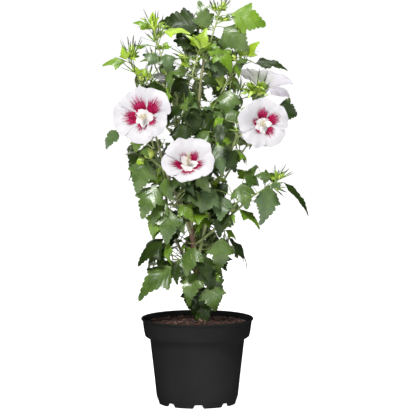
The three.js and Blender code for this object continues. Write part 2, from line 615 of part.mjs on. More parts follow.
// What fills the room left: leaves up the stem, then twigs with a leaf at each joint
function fillingGrowth(mass) {
  const stem = stemCurve(mass);
  const draw = seeded(mass.seed + 1000);
  const facing = heading(mass.open, FACING_CLIMB);
  const grow = (root, leaf) => leafShoot(root, leaf, facing, leafHabit(draw));
  const shoots = [];
  for (let k = 0; k < (mass.stemLeaves || 0); k += 1) {
    const { low, span, climb, hang } = STEM_LEAVES;
    const azimuth = mass.open + swing(STEM_LEAVES, k);
    const blade = mass.twigLeaf * between(draw, ...FILL_SIZE);
    shoots.push(grow(stem.getPoint(low + (span * k) / mass.stemLeaves),
      [azimuth, between(draw, ...climb), blade * LEAF.stalkShare, between(draw, ...hang), blade]));
  }
  for (let k = 0; k < mass.twigs; k += 1) {
    const root = stem.getPoint(TWIGS.low + (TWIGS.span * k) / mass.twigs);
    const azimuth = mass.open + swing(TWIGS, k);
    const way = heading(azimuth, between(draw, ...TWIGS.climb));
    const end = root.clone().addScaledVector(way, mass.twigLeaf * between(draw, ...TWIGS.reach));
    const twig = new THREE.LineCurve3(root, end);
    const leaves = JOINTS.map(([along, turn, share]) => {
      const { sway, climb, hang } = JOINT_LEAF;
      const blade = mass.twigLeaf * share * between(draw, ...FILL_SIZE);
      return grow(twig.getPoint(along), [azimuth + turn + between(draw, ...sway), between(draw, ...climb),
        blade * LEAF.stalkShare, between(draw, ...hang), blade]);
    });
    shoots.push({ solid: tube(twig, 2, TWIG.sides, taper(TWIG)), leaves });
  }
  return shoots;
}

const boxesMeet = (a, b) => [0, 1, 2].every((i) => a.min[i] < b.max[i] + CLEAR && b.min[i] < a.max[i] + CLEAR);

const noted = (body) => ({ body, box: body.boundingBox() });

// A piece has room when it keeps clear of every piece in the list
function hasRoom(piece, others) {
  const box = piece.boundingBox();
  return others.every((other) => !boxesMeet(box, other.box) || piece.minGap(other.body, 1) > CLEAR);
}

function makeMasses(limbs) {
  const limbList = Object.values(limbs).map(noted);
  const names = Object.keys(MASSES);
  const firm = {};
  const grown = {};
  const blades = {};
  names.forEach((name) => {
    firm[name] = firmPieces(MASSES[name]).map(noted);
    grown[name] = [];
    blades[name] = [];
  });
  const settle = (name, strangers, shoot) => {
    const own = [...firm[name], ...blades[name]];
    if (!hasRoom(shoot.solid, strangers) || (shoot.blade && !hasRoom(shoot.blade, own))) return;
    grown[name].push(noted(shoot.solid));
    blades[name].push(noted(shoot.blade || shoot.solid));
    shoot.leaves.forEach((leaf) => settle(name, strangers, leaf));
  };
  [showingLeaves, fillingGrowth].forEach((growth) => names.forEach((name) => {
    const others = names.filter((one) => one !== name);
    const strangers = [...limbList, ...others.flatMap((one) => [...firm[one], ...grown[one]])];
    growth(MASSES[name]).forEach((shoot) => settle(name, strangers, shoot));
  }));
  const bodies = {};
  names.forEach((name) => {
    const pieces = [...firm[name], ...grown[name]].map(({ body }) => body);
    const fused = wasm.Manifold.union(pieces).subtract(clearOf(MASSES[name].limb));
    bodies[name] = largest(fused.simplify(FINEST));
  });
  return bodies;
}

// Scene graph

function makeMesh(name, body, colour) {
  const { vertProperties, triVerts } = body.getMesh();
  const geometry = new THREE.BufferGeometry();
  geometry.setAttribute('position', new THREE.BufferAttribute(new Float32Array(vertProperties), 3));
  geometry.setIndex(new THREE.BufferAttribute(new Uint32Array(triVerts), 1));
  geometry.computeVertexNormals();
  const mesh = new THREE.Mesh(geometry, new THREE.MeshStandardMaterial({ metalness: 0, ...colour }));
  mesh.name = name;
  return mesh;
}

const group = new THREE.Group();
const limbs = makeLimbs();
group.add(makeMesh('pot', makePot(), COLOURS.pot));
group.add(makeMesh('soil', makeSoil(), COLOURS.soil));
Object.entries(limbs).forEach(([name, body]) => {
  const woody = name === 'trunk' || name === 'leader';
  group.add(makeMesh(name, body, woody ? COLOURS.bark : COLOURS.greenwood));
});
Object.entries(makeMasses(limbs)).forEach(([name, body]) => group.add(makeMesh(name, body, COLOURS.foliage)));

export default group;
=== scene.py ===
# A hibiscus shrub in its nursery pot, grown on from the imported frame.
# The growth tables and their rule are those of the part's source, in millimetres. Blender works in metres.
# The pot and the floor are modelled step by step from a primitive. Leaves, petals and twigs are there by
# the hundred, each bent its own way, so their points are worked out and gathered into a few large meshes.

import math

import bpy
import numpy as np
from mathutils import Matrix, Vector, noise
from mathutils.bvhtree import BVHTree


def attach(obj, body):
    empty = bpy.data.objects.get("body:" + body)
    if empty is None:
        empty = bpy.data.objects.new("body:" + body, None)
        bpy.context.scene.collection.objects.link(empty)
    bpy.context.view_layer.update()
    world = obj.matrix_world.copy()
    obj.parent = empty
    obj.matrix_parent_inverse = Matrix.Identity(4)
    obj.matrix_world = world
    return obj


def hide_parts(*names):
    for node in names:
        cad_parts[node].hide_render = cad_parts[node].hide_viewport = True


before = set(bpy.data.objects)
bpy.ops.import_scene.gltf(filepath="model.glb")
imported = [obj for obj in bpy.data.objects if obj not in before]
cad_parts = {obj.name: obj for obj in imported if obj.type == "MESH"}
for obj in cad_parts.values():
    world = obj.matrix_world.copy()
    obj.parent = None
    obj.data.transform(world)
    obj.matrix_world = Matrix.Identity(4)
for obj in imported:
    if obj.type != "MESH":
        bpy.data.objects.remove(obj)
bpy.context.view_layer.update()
MM = 0.001

# Limbs: each starts on its parent's middle line, `along` it from 0 to 1, and runs through `via`
LIMBS = {
    "trunk": {
        "via": [[9, 0, 142.8], [6, 0, 195], [-3, 0, 251], [-11, 0, 302]], "thick": [6.8, 4.5],
        "flare": 2.4, "rings": 9, "sides": 8,
    },
    "leader": {
        "from": "trunk", "along": 1, "via": [[-9, 1, 355], [-2, 0, 439], [6, 0, 554], [12, 0, 589]],
        "thick": [4.1, 1.9], "rings": 9, "sides": 7,
    },
    "left_bough": {
        "from": "trunk", "along": 0.9, "via": [[-31, -14, 350], [-52, -30, 401], [-71, -42, 468]],
        "thick": [3.2, 1.8], "rings": 7, "sides": 6,
    },
    "right_bough": {
        "from": "trunk", "along": 0.59, "via": [[14, -6, 305], [29, -15, 362], [66, -35, 460]],
        "thick": [3.3, 1.8], "rings": 7, "sides": 6,
    },
    "low_right_bough": {
        "from": "trunk", "along": 0.8, "via": [[42, -22, 313], [93, -28, 360]], "thick": [2.6, 1.8],
        "rings": 5, "sides": 6,
    },
    "upper_left_bough": {
        "from": "leader", "along": 0.2, "via": [[-24, -9, 415], [-36, -12, 474], [-34, -12, 529]],
        "thick": [2.8, 1.8], "rings": 7, "sides": 6,
    },
    "upper_right_bough": {
        "from": "leader", "along": 0.42, "via": [[10, 4, 457], [27, 5, 507], [56, 8, 561]],
        "thick": [2.7, 1.8], "rings": 7, "sides": 6,
    },
    "front_bough": {
        "from": "leader", "along": 0.1, "via": [[-7, -22, 353], [-12, -44, 383]], "thick": [2.4, 1.8],
        "rings": 5, "sides": 6,
    },
    "back_left_bough": {
        "from": "trunk", "along": 0.5, "via": [[-25, 14, 257], [-46, 40, 305], [-55, 58, 357]],
        "thick": [2.9, 1.8], "rings": 6, "sides": 6,
    },
    "back_right_bough": {
        "from": "leader", "along": 0.06, "via": [[22, 28, 340], [52, 55, 390]], "thick": [2.7, 1.8],
        "rings": 5, "sides": 6,
    },
    "back_bough": {
        "from": "leader", "along": 0.5, "via": [[0, 26, 475], [4, 52, 510]], "thick": [2.3, 1.8],
        "rings": 5, "sides": 6,
    },
}

# Masses: each grows on its limb, from `along` it, up a stem to `tip`, and turns its leaves to `open`.
# A leaf is [along, azimuth, climb, stalk, hang, blade, roll], a bud [along, azimuth, climb, stalk, length,
# thickness] and a bloom [along, azimuth, climb, stalk, face azimuth, face climb, width, cup].
MASSES = {
    "leaves_bloom_left": {
        "limb": "left_bough", "along": 1, "tip": [-88, -48, 485], "open": -110, "seed": 3, "twigs": 1,
        "leaf": 40,
        "blooms": [[1, 30, 75, 11, -105, 14, 100, 0.25]],
        "leaves": [[0.95, 180, -10, 48, -58, 40, 18], [0.7, -165, -40, 24, -85, 28],
            [0.3, 150, -30, 10, -30, 34]],
    },
    "leaves_left": {
        "limb": "left_bough", "along": 0.67, "tip": [-78, -48, 427], "open": -115, "seed": 5, "twigs": 1,
        "leaf": 46,
        "buds": [[1, -120, 50, 3, 21, 18]],
        "leaves": [[0.7, -155, 18, 18, -66, 58, -25], [0.45, -140, -76, 32, -58, 60, -22],
            [0.3, -70, -50, 20, -58, 40]],
    },
    "leaves_left_inner": {
        "limb": "left_bough", "along": 0.3, "tip": [-50, -40, 347], "open": -100, "seed": 7, "twigs": 2,
        "leaf": 46,
        "leaves": [[0.7, -110, -40, 12, -70, 56], [0.9, -175, -35, 18, -65, 46],
            [0.35, -65, -70, 20, -50, 30], [0.45, -145, 35, 20, -42, 48], [0.85, -30, 5, 20, -42, 36]],
    },
    "leaves_low_left": {
        "limb": "trunk", "along": 0.64, "tip": [-43, -20, 251], "open": -120, "seed": 12, "twigs": 2,
        "leaf": 46,
        "leaves": [[0.95, -175, 65, 40, -40, 64], [0.95, -130, 70, 30, -70, 34],
            [0.7, -160, -40, 16, -36, 80], [0.7, -105, -25, 12, -55, 34]],
    },
    "leaves_low_front": {
        "limb": "trunk", "along": 0.55, "tip": [5, -26, 248], "open": -90, "seed": 13, "twigs": 1,
        "leaf": 46,
        "leaves": [[0.95, -130, 65, 30, -55, 50], [0.65, -130, -55, 16, -60, 54],
            [0.7, -30, -60, 38, -72, 48], [0.95, -65, 45, 18, -60, 43], [0.45, -8, -40, 26, -58, 46],
            [0.95, -40, -25, 12, -70, 46], [0.3, -152, -70, 36, -82, 40], [0.35, -38, -70, 36, -84, 40]],
    },
    "leaves_low_right": {
        "limb": "right_bough", "along": 0.18, "tip": [44, -14, 276], "open": -65, "seed": 17, "twigs": 1,
        "leaf": 46,
        "leaves": [[0.95, -92, 35, 25, -76, 58], [0.9, 8, 38, 18, -47, 62, -14],
            [0.6, 30, -45, 16, -86, 38, 62]],
    },
    "leaves_right": {
        "limb": "low_right_bough", "along": 0.4, "tip": [73, -38, 357], "open": -90, "seed": 19,
        "twigs": 1, "leaf": 46,
        "leaves": [[0.3, -98, 74, 44, -60, 44], [0.95, -70, 72, 30, -50, 46, 18],
            [0.8, -20, -45, 10, -28, 48, -48], [0.95, -155, 26, 48, -48, 46],
            [0.45, -125, 60, 12, -55, 44]],
    },
    "leaves_right_tip": {
        "limb": "low_right_bough", "along": 1, "tip": [132, -30, 384], "open": -80, "seed": 23,
        "twigs": 0, "leaf": 40,
        "buds": [[1, 0, 45, 8, 16, 9], [0.75, 0, -15, 9, 13, 8]],
        "leaves": [[0.78, -100, 8, 14, -76, 66], [0.55, 45, 75, 18, 15, 31],
            [0.95, -5, 5, 18, -46, 70, -66], [0.6, 155, 70, 38, -20, 30], [0.25, 160, 50, 30, 45, 26],
            [0.95, -160, 62, 12, 10, 25, -20]],
    },
    "leaves_bloom_middle": {
        "limb": "front_bough", "along": 1, "tip": [-13, -60, 405], "open": -95, "seed": 29, "twigs": 0,
        "leaf": 36,
        "blooms": [[1, -110, 60, 7, -92, 38, 92, 0.55]],
        "leaves": [[0.9, -145, 5, 14, -45, 32], [0.7, -35, 5, 18, -50, 34], [0.4, 160, 10, 14, -35, 40]],
    },
    "leaves_centre_right": {
        "limb": "leader", "along": 0.36, "via": [22, -20, 430], "tip": [42, -24, 479], "open": -90,
        "seed": 31, "twigs": 2, "leaf": 48,
        "leaves": [[0.95, -155, 75, 22, -8, 52], [0.7, -72, 0, 12, -62, 48],
            [0.65, -30, -10, 23, -58, 40], [0.95, 10, 60, 16, 40, 32]],
    },
    "leaves_bloom_right": {
        "limb": "right_bough", "along": 1, "tip": [98, -40, 481], "open": -70, "seed": 37, "twigs": 1,
        "leaf": 40,
        "blooms": [[1, 25, 10, 14, -87, 12, 88, 0.3]],
        "leaves": [[0.95, 15, 40, 50, -18, 44, 34], [0.5, 165, 50, 20, 55, 36],
            [0.15, -120, -60, 24, -60, 38]],
    },
    "leaves_bloom_rear": {
        "limb": "right_bough", "along": 0.88, "via": [80, -6, 495], "tip": [105, 2, 527], "open": -60,
        "seed": 107, "twigs": 0, "leaf": 36,
        "blooms": [[1, 15, 55, 8, 52, 64, 88, 0.5]],
        "buds": [[0.8, -70, 42, 26, 24, 16]],
        "leaves": [[0.55, 170, 45, 12, 30, 34]],
    },
    "leaves_centre_left": {
        "limb": "upper_left_bough", "along": 0.66, "tip": [-22, -30, 507], "open": -100, "seed": 41,
        "twigs": 1, "leaf": 42,
        "leaves": [[0.95, -145, 55, 14, -40, 46], [0.95, -40, 35, 14, -60, 46],
            [0.5, -170, 10, 18, -40, 28], [0.6, -80, -20, 16, -65, 46]],
    },
    "leaves_top_left": {
        "limb": "upper_left_bough", "along": 1, "via": [-52, -13, 570], "tip": [-68, -15, 623],
        "open": -105, "seed": 43, "twigs": 1, "leaf": 36,
        "buds": [[1, 180, 78, 18, 20, 11], [1, 70, 50, 8, 14, 9]],
        "leaves": [[0.15, -155, -10, 12, 14, 46], [0.7, -50, 60, 14, -62, 32],
            [0.6, -175, 40, 12, 35, 30], [0.88, 165, 25, 14, 4, 46, 62], [1, 180, 58, 26, 35, 28, 40],
            [0.95, -30, 65, 26, 5, 50, -36], [0.4, -25, 10, 10, -50, 40]],
    },
    "leaves_far_left": {
        "limb": "upper_left_bough", "along": 0.55, "via": [-76, -18, 510], "tip": [-112, -25, 589],
        "open": -115, "seed": 47, "twigs": 2, "leaf": 36,
        "buds": [[1, 0, 85, 6, 24, 13], [0.7, -40, 65, 20, 17, 9], [0.86, -60, -15, 10, 14, 8]],
        "leaves": [[0.97, -172, 30, 12, 3, 40, 20], [0.95, -150, 45, 18, 62, 22],
            [0.6, 60, 15, 12, 10, 32], [0.8, 75, 40, 12, 40, 26]],
    },
    "leaves_inner_top": {
        "limb": "leader", "along": 0.76, "via": [-8, -14, 565], "tip": [3, -17, 605], "open": -95,
        "seed": 53, "twigs": 1, "leaf": 34,
        "buds": [[1, 0, 70, 14, 15, 8], [0.85, -165, 15, 20, 15, 8], [0.5, 145, -5, 40, 26, 12]],
        "leaves": [[0.9, -60, 65, 16, 60, 34], [0.95, -170, 70, 18, 20, 36],
            [0.95, -10, 45, 18, -15, 32], [0.65, 180, 25, 10, 60, 24], [0.4, -10, -10, 16, -12, 32]],
    },
    "leaves_top": {
        "limb": "leader", "along": 1, "tip": [37, 0, 668], "open": -90, "seed": 59, "twigs": 1,
        "leaf": 36,
        "buds": [[1, 0, 65, 10, 15, 9], [0.97, 180, 60, 10, 12, 7], [0.8, 0, 25, 14, 12, 7]],
        "leaves": [[0.65, -155, 20, 14, 75, 47], [0.7, 180, 6, 28, 11, 68, -25],
            [0.95, -5, 12, 22, -13, 62, 15], [0.75, -18, -5, 16, -42, 56, 28],
            [0.3, -35, -20, 12, -30, 46], [0.5, 180, -20, 12, 5, 40]],
    },
    "leaves_top_right": {
        "limb": "upper_right_bough", "along": 1, "tip": [86, 10, 592], "open": -70, "seed": 61,
        "twigs": 1, "leaf": 38,
        "buds": [[0.6, -150, 50, 12, 15, 9]],
        "leaves": [[0.95, 5, -25, 16, 2, 56, -40], [0.85, -60, 50, 12, 50, 34],
            [0.6, 165, 45, 12, 45, 32], [0.15, -110, -60, 30, -62, 48], [0.4, -165, 40, 14, 5, 46]],
    },
    "leaves_back_low_left": {
        "limb": "trunk", "along": 0.45, "tip": [-28, 38, 255], "open": 125, "seed": 67, "twigs": 3,
        "leaf": 54, "stem_leaves": 3,
    },
    "leaves_back_low_right": {
        "limb": "trunk", "along": 0.72, "tip": [32, 38, 287], "open": 55, "seed": 71, "twigs": 3,
        "leaf": 54, "stem_leaves": 3,
    },
    "leaves_back_left": {
        "limb": "back_left_bough", "along": 1, "tip": [-82, 52, 463], "open": 120, "seed": 73,
        "twigs": 2, "leaf": 52, "stem_leaves": 3,
        "blooms": [[1, 150, 60, 14, 110, 18, 86, 0.3]],
    },
    "leaves_back_right": {
        "limb": "back_right_bough", "along": 1, "tip": [97, 50, 457], "open": 55, "seed": 79, "twigs": 2,
        "leaf": 52, "stem_leaves": 3,
        "blooms": [[1, 40, 60, 14, 75, 18, 84, 0.3]],
    },
    "leaves_back_middle": {
        "limb": "back_bough", "along": 1, "tip": [-6, 78, 565], "open": 90, "seed": 83, "twigs": 2,
        "leaf": 46, "stem_leaves": 3,
    },
    "leaves_back_top": {
        "limb": "leader", "along": 0.9, "tip": [12, 42, 633], "open": 90, "seed": 89, "twigs": 3,
        "leaf": 38, "stem_leaves": 3,
        "buds": [[1, 90, 70, 12, 15, 9]],
    },
    "leaves_back_high_left": {
        "limb": "upper_left_bough", "along": 0.85, "tip": [-72, 38, 577], "open": 130, "seed": 97,
        "twigs": 2, "leaf": 42, "stem_leaves": 3,
        "buds": [[1, 130, 70, 12, 16, 9]],
    },
    "leaves_back_high_right": {
        "limb": "upper_right_bough", "along": 0.4, "tip": [72, 55, 525], "open": 45, "seed": 101,
        "twigs": 3, "leaf": 44, "stem_leaves": 3,
    },
}

# Groups of masses, each of which becomes one piece of foliage
GROUPS = {
    "lower": [
        "leaves_low_left", "leaves_low_front", "leaves_low_right", "leaves_left_inner",
        "leaves_back_low_left", "leaves_back_low_right",
    ],
    "left": [
        "leaves_left", "leaves_bloom_left", "leaves_far_left", "leaves_bloom_middle", "leaves_centre_left",
    ],
    "right": [
        "leaves_right", "leaves_right_tip", "leaves_centre_right", "leaves_bloom_right",
        "leaves_bloom_rear",
    ],
    "top": ["leaves_top_left", "leaves_inner_top", "leaves_top", "leaves_top_right"],
    "back": [
        "leaves_back_left", "leaves_back_right", "leaves_back_middle", "leaves_back_top",
        "leaves_back_high_left", "leaves_back_high_right",
    ],
}
GROUP_OF = {name: group for group, names in GROUPS.items() for name in names}

# Tufts of young leaves, which the photo's crown adds: [along, azimuth, climb, stalk, count, length]
TUFTS = {
    "leaves_top": [[1, 20, 70, 4, 5, 22], [0.8, 10, 25, 8, 4, 16]],
    "leaves_inner_top": [[1, 0, 70, 6, 6, 24], [0.75, 60, 40, 8, 4, 18]],
    "leaves_top_left": [[1, 180, 72, 20, 8, 30], [0.8, 0, 60, 8, 5, 20]],
    "leaves_far_left": [[1, 0, 85, 4, 5, 20], [0.8, -40, 65, 8, 4, 18]],
    "leaves_top_right": [[0.9, -140, 60, 6, 5, 20]],
    "leaves_bloom_rear": [[0.8, -70, 42, 24, 13, 31], [0.8, -74, 40, 38, 9, 22]],
    "leaves_right_tip": [[1, 0, 45, 4, 4, 18]],
    "leaves_centre_right": [[0.4, -90, 30, 14, 4, 20]],
    "leaves_back_top": [[1, 90, 60, 4, 5, 24]],
    "leaves_back_high_left": [[1, 130, 60, 4, 5, 24]],
    "leaves_back_middle": [[1, 90, 70, 4, 5, 22]],
    "leaves_back_left": [[1, 120, 60, 4, 5, 22]],
    "leaves_back_right": [[1, 55, 60, 4, 5, 22]],
}

# Fans of slim bractlets round small buds: [along, azimuth, climb, stalk, count, length]
FANS = {
    "leaves_inner_top": [[0.6, 170, 55, 10, 9, 27], [0.9, 20, 55, 8, 6, 20]],
    "leaves_top_left": [[1, 20, 66, 12, 9, 27], [0.9, -160, 60, 14, 7, 20]],
    "leaves_far_left": [[1, 120, 82, 4, 14, 29], [0.85, -150, 50, 10, 8, 22], [0.7, 10, 45, 16, 7, 18]],
    "leaves_top": [[1, 100, 62, 6, 7, 18]],
    "leaves_top_right": [[0.7, -120, 60, 12, 7, 20]],
    "leaves_right_tip": [[1, 60, 62, 7, 8, 18], [0.9, -40, 20, 6, 6, 15]],
    "leaves_centre_left": [[0.9, 30, 70, 14, 7, 22]],
    "leaves_bloom_right": [[0.3, -120, 30, 16, 6, 16]],
    "leaves_back_top": [[1, 60, 60, 8, 8, 22]],
    "leaves_back_high_left": [[1, 100, 62, 8, 8, 22]],
    "leaves_back_high_right": [[1, 40, 62, 8, 8, 22]],
}

# Single leaves on limbs and masses: [along, azimuth, climb, stalk, hang, blade, tone]
ACCENTS = {
    # The deep leaves low on the trunk are dark leaves set round its foot as painted shade
    "trunk": [[0.37, -78, -25, 8, -78, 36, "d"], [0.33, -125, -20, 8, -72, 32, "d"],
        [0.3, -45, -15, 8, -70, 28, "d"], [0.2, -95, -10, 6, -74, 30, "d"],
        [0.14, -60, 10, 6, -60, 24, "d"], [0.12, -130, 10, 6, -55, 22, "d"],
        [0.24, -20, 0, 8, -60, 26, "d"], [0.22, -165, 0, 8, -62, 26, "d"]],
    "right_bough": [[0.77, -170, -10, 8, -75, 20, "y"], [0.74, -60, -20, 6, -60, 15, "y"],
        [0.97, -150, 30, 6, 20, 22, "f"]],
    "leader": [[0.13, -60, 20, 10, -60, 24, "y"], [0.18, -130, 10, 8, -50, 18, "f"]],
    "low_right_bough": [[0.5, -120, 40, 8, 10, 16, "f"], [0.62, -70, 30, 8, -30, 18, "f"]],
    "leaves_low_front": [[0.9, -20, -35, 30, -60, 18, "f"]],
    "leaves_bloom_rear": [[0.7, -120, 10, 14, -68, 30, "y"]],
    "leaves_left": [[0.9, -170, 10, 14, -30, 18, "y"]],
    "leaves_right": [[0.9, 15, 76, 44, -18, 36, "m"], [0.8, -160, 70, 38, -30, 32, "d"]],
    "leaves_low_left": [[0.6, -60, 40, 10, 10, 18, "d"]],
    "leaves_back_middle": [[1, 90, 5, 24, -12, 47, "m"], [0.97, 70, 20, 20, 4, 46, "d"],
        [0.94, 112, -5, 20, -28, 44, "m"], [0.9, 85, -30, 18, -45, 42, "d"]],
}

# Leafy spurs all round a limb: [step from one to the next, where on the limb they begin, blade, seed]
SPURS = {
    "trunk": [24, 0.5, 40, 201],
    "leader": [17, 0.05, 40, 202],
    "left_bough": [17, 0.15, 38, 203],
    "right_bough": [17, 0.15, 40, 204],
    "low_right_bough": [17, 0.2, 36, 205],
    "upper_left_bough": [16, 0.15, 38, 206],
    "upper_right_bough": [16, 0.15, 38, 207],
    "front_bough": [17, 0.2, 34, 208],
    "back_left_bough": [15, 0.15, 42, 209],
    "back_right_bough": [15, 0.2, 42, 210],
    "back_bough": [15, 0.2, 40, 211],
}

# Blooms: how far the first petal stands from upright, in degrees, and the reach of each of the five
LOOKS = {
    "leaves_bloom_left": [27, 0.97, 1.05, 0.95, 0.93, 1.09],
    "leaves_bloom_middle": [36, 1.0, 1.02, 0.97, 1.0, 1.05],
    "leaves_bloom_right": [2, 0.96, 0.98, 0.97, 0.97, 1.0],
    "leaves_bloom_rear": [10, 1.05, 1.2, 1.08, 1.0, 1.1],
}
PLAIN_LOOK = [20, 1, 0.97, 1, 1, 0.96]

# The five petals of a bloom in turn: the size of the crimson, and how far the petal droops
PETALS = {
    "leaves_bloom_left": [[1.15, 0], [1.08, 0], [0.85, 0], [0.9, 0], [1.15, 0]],
    "leaves_bloom_middle": [[0.72, 0], [1.0, 0], [1.1, 0], [0.95, 0], [0.82, 0]],
    "leaves_bloom_right": [[1.0, 0], [0.65, 0], [0.7, 0], [0.95, 0], [1.08, 0]],
    "leaves_bloom_rear": [[1, 0], [1, -0.04], [1, 0.3], [1, 0], [1, 0]],
}
PLAIN_PETALS = [[1, 0]] * 5

# A bud of this length has begun to open, so it shows its rolled petals
ROLLED_LENGTH = 26

# What sets single leaves of a mass apart, by their number: [width, hook, sway]
SHAPES = {
    "leaves_bloom_left": {0: [0.95, 1.0, 0.24]},
    "leaves_low_left": {0: [0.9, 0.4, 0.0], 2: [0.85, 0.9, 0.05]},
    "leaves_right_tip": {0: [0.88, 1.0, 0.0], 2: [0.6, 0.45, 0.0]},
    "leaves_right": {1: [1.1, 0.5, 0.0], 2: [0.85, 0.8, 0.0]},
    "leaves_top": {1: [1.1, 0.6, 0.0], 2: [1.1, 0.6, 0.0], 3: [1.2, 0.6, 0.0]},
    "leaves_bloom_right": {0: [1.2, 0.6, 0.0]},
    "leaves_far_left": {0: [0.9, 0.4, 0.0]},
    "leaves_top_left": {3: [0.95, 0.8, 0.0], 5: [0.85, 0.5, 0.0]},
    "leaves_top_right": {0: [0.95, 0.5, 0.0]},
    "leaves_low_front": {2: [1.18, 0.9, 0.0]},
    "leaves_low_right": {1: [1.0, 0.7, 0.0]},
}

# The tone of each of a mass's leaves in turn: d deep, m middle, p pale with painted sheen, f fresh, y young
TONES = {
    "leaves_bloom_left": "pfd", "leaves_left": "mmm", "leaves_left_inner": "mfmmf",
    "leaves_low_left": "dfmd", "leaves_low_front": "mmmdmddd", "leaves_low_right": "mdd",
    "leaves_right": "pmfpd", "leaves_right_tip": "pfdmfm", "leaves_bloom_middle": "mmd",
    "leaves_centre_right": "dpdm", "leaves_bloom_right": "dmd", "leaves_bloom_rear": "m",
    "leaves_centre_left": "ddmd", "leaves_top_left": "dppffyd", "leaves_far_left": "fydy",
    "leaves_inner_top": "ydfyd", "leaves_top": "mdfmfd", "leaves_top_right": "dymmp",
}
TONE_LETTERS = "dmpfy"
DEEP, MIDDLE, PALE_SHEEN, FRESH, YOUNG = range(5)

# Finer growth in each mass, as a number of twigs and the length of their leaves
FINER = {
    "leaves_bloom_left": [2, 30], "leaves_left": [3, 40], "leaves_left_inner": [4, 42],
    "leaves_low_left": [4, 44], "leaves_low_front": [4, 44], "leaves_low_right": [3, 42],
    "leaves_right": [4, 40], "leaves_right_tip": [2, 30], "leaves_bloom_middle": [2, 30],
    "leaves_centre_right": [6, 42], "leaves_bloom_right": [3, 36], "leaves_bloom_rear": [4, 36],
    "leaves_centre_left": [6, 40], "leaves_top_left": [4, 30], "leaves_far_left": [3, 28],
    "leaves_inner_top": [5, 32], "leaves_top": [3, 34], "leaves_top_right": [5, 34],
    "leaves_back_low_left": [6, 44], "leaves_back_low_right": [6, 44], "leaves_back_left": [7, 44],
    "leaves_back_right": [7, 44], "leaves_back_middle": [7, 40], "leaves_back_top": [5, 34],
    "leaves_back_high_left": [6, 38], "leaves_back_high_right": [7, 40],
}

# The crown's outline from the front: [height, left, right], as seen from the camera's climb
OUTLINE = [
    [155, -20, 40], [177, -30, 46], [191, -100, 50], [216, -98, 80], [251, -102, 84], [273, -98, 84],
    [289, -84, 66], [305, -80, 60], [321, -86, 72], [335, -96, 108], [353, -99, 120], [361, -108, 150],
    [387, -122, 150], [405, -120, 90], [435, -130, 92], [456, -120, 140], [490, -115, 140],
    [524, -105, 150], [550, -108, 152], [575, -116, 160], [585, -156, 156], [601, -156, 140],
    [609, -135, 118], [627, -125, 98], [647, -108, 110], [661, -100, 112], [677, -60, 108], [687, 0, 90],
    [695, 20, 60],
]
HIGHEST = 684
LOWEST = 152

# Sky seen through the crown from the front: [x, height, half width, half height]
SKY = [
    [-44, 623, 11, 8], [-32, 599, 9, 16], [-4, 569, 10, 21], [14, 528, 9, 14], [-59, 496, 6, 19],
    [63, 392, 13, 11], [-36, 257, 11, 9], [-25, 294, 3, 4], [-18, 296, 5, 8], [38, 294, 6, 5],
    [-50, 461, 5, 9], [107, 454, 8, 6], [62, 370, 6, 7], [103, 378, 7, 5], [-75, 569, 10, 9],
    [-99, 584, 6, 7], [118, 510, 4, 8], [37, 636, 4, 6], [54, 597, 6, 6], [22, 251, 3, 5],
    [-6, 223, 3, 4], [70, 405, 10, 8], [-66, 467, 6, 8], [-52, 345, 4, 5],
]

# Stretches of limb that stay in view from the front: [x, height, x, height, half width, depth]
BARE = [
    [-11, 305, -9, 276, 7, 0], [5, 276, 91, 358, 5, -24], [-72, 464, -63, 396, 5, -36],
    [-50, 362, -31, 341, 5, -18], [30, 396, 68, 456, 5, -24], [9, 584, 3, 538, 6, 0],
    [25, 516, 59, 567, 4, 0], [-38, 504, -34, 456, 5, -12],
]

# How much higher a point looks from the camera for each millimetre that it stands further back
TILT = 0.1087

# Rule values shared with the part's source
GOLDEN = 137.5
STALK_SHARE = 0.3
TURN_SPREAD = 0.7
CURL = (0.02, 0.2)
FOLD = (-0.12, 0.22)
FACING_CLIMB = 35
FILL_SIZE = (0.8, 1.15)
JOINTS = [[0.5, -65, 1], [0.8, 65, 1], [0.97, 0, 0.85]]

# The finer twigs' joints: [along, turn, size of the leaf], and how often a twig or leaf tries to find room
FINE_JOINTS = [[0.35, 70, 0.85], [0.55, -70, 1], [0.78, 60, 0.95], [0.97, -5, 0.8]]
TRIES = 6

# Radius of a mass's stem, of its twigs and of the finer twigs, at the root and at the end
STEM_RADIUS = (1.8, 1.25)
TWIG_RADIUS = (1.2, 0.7)
FINE_RADIUS = (1.0, 0.55)

# Added to the seed of a mass for each kind of growth. Wild draws bend what grows, and choose its tone.
SEED_STEP = {"filling": 1000, "finer": 2000, "bloom": 3000, "bud": 3100, "tuft": 3200, "fan": 3400}
WILD_STEP = {"showing": 5000, "filling": 6000, "finer": 7000, "spur": 9000}

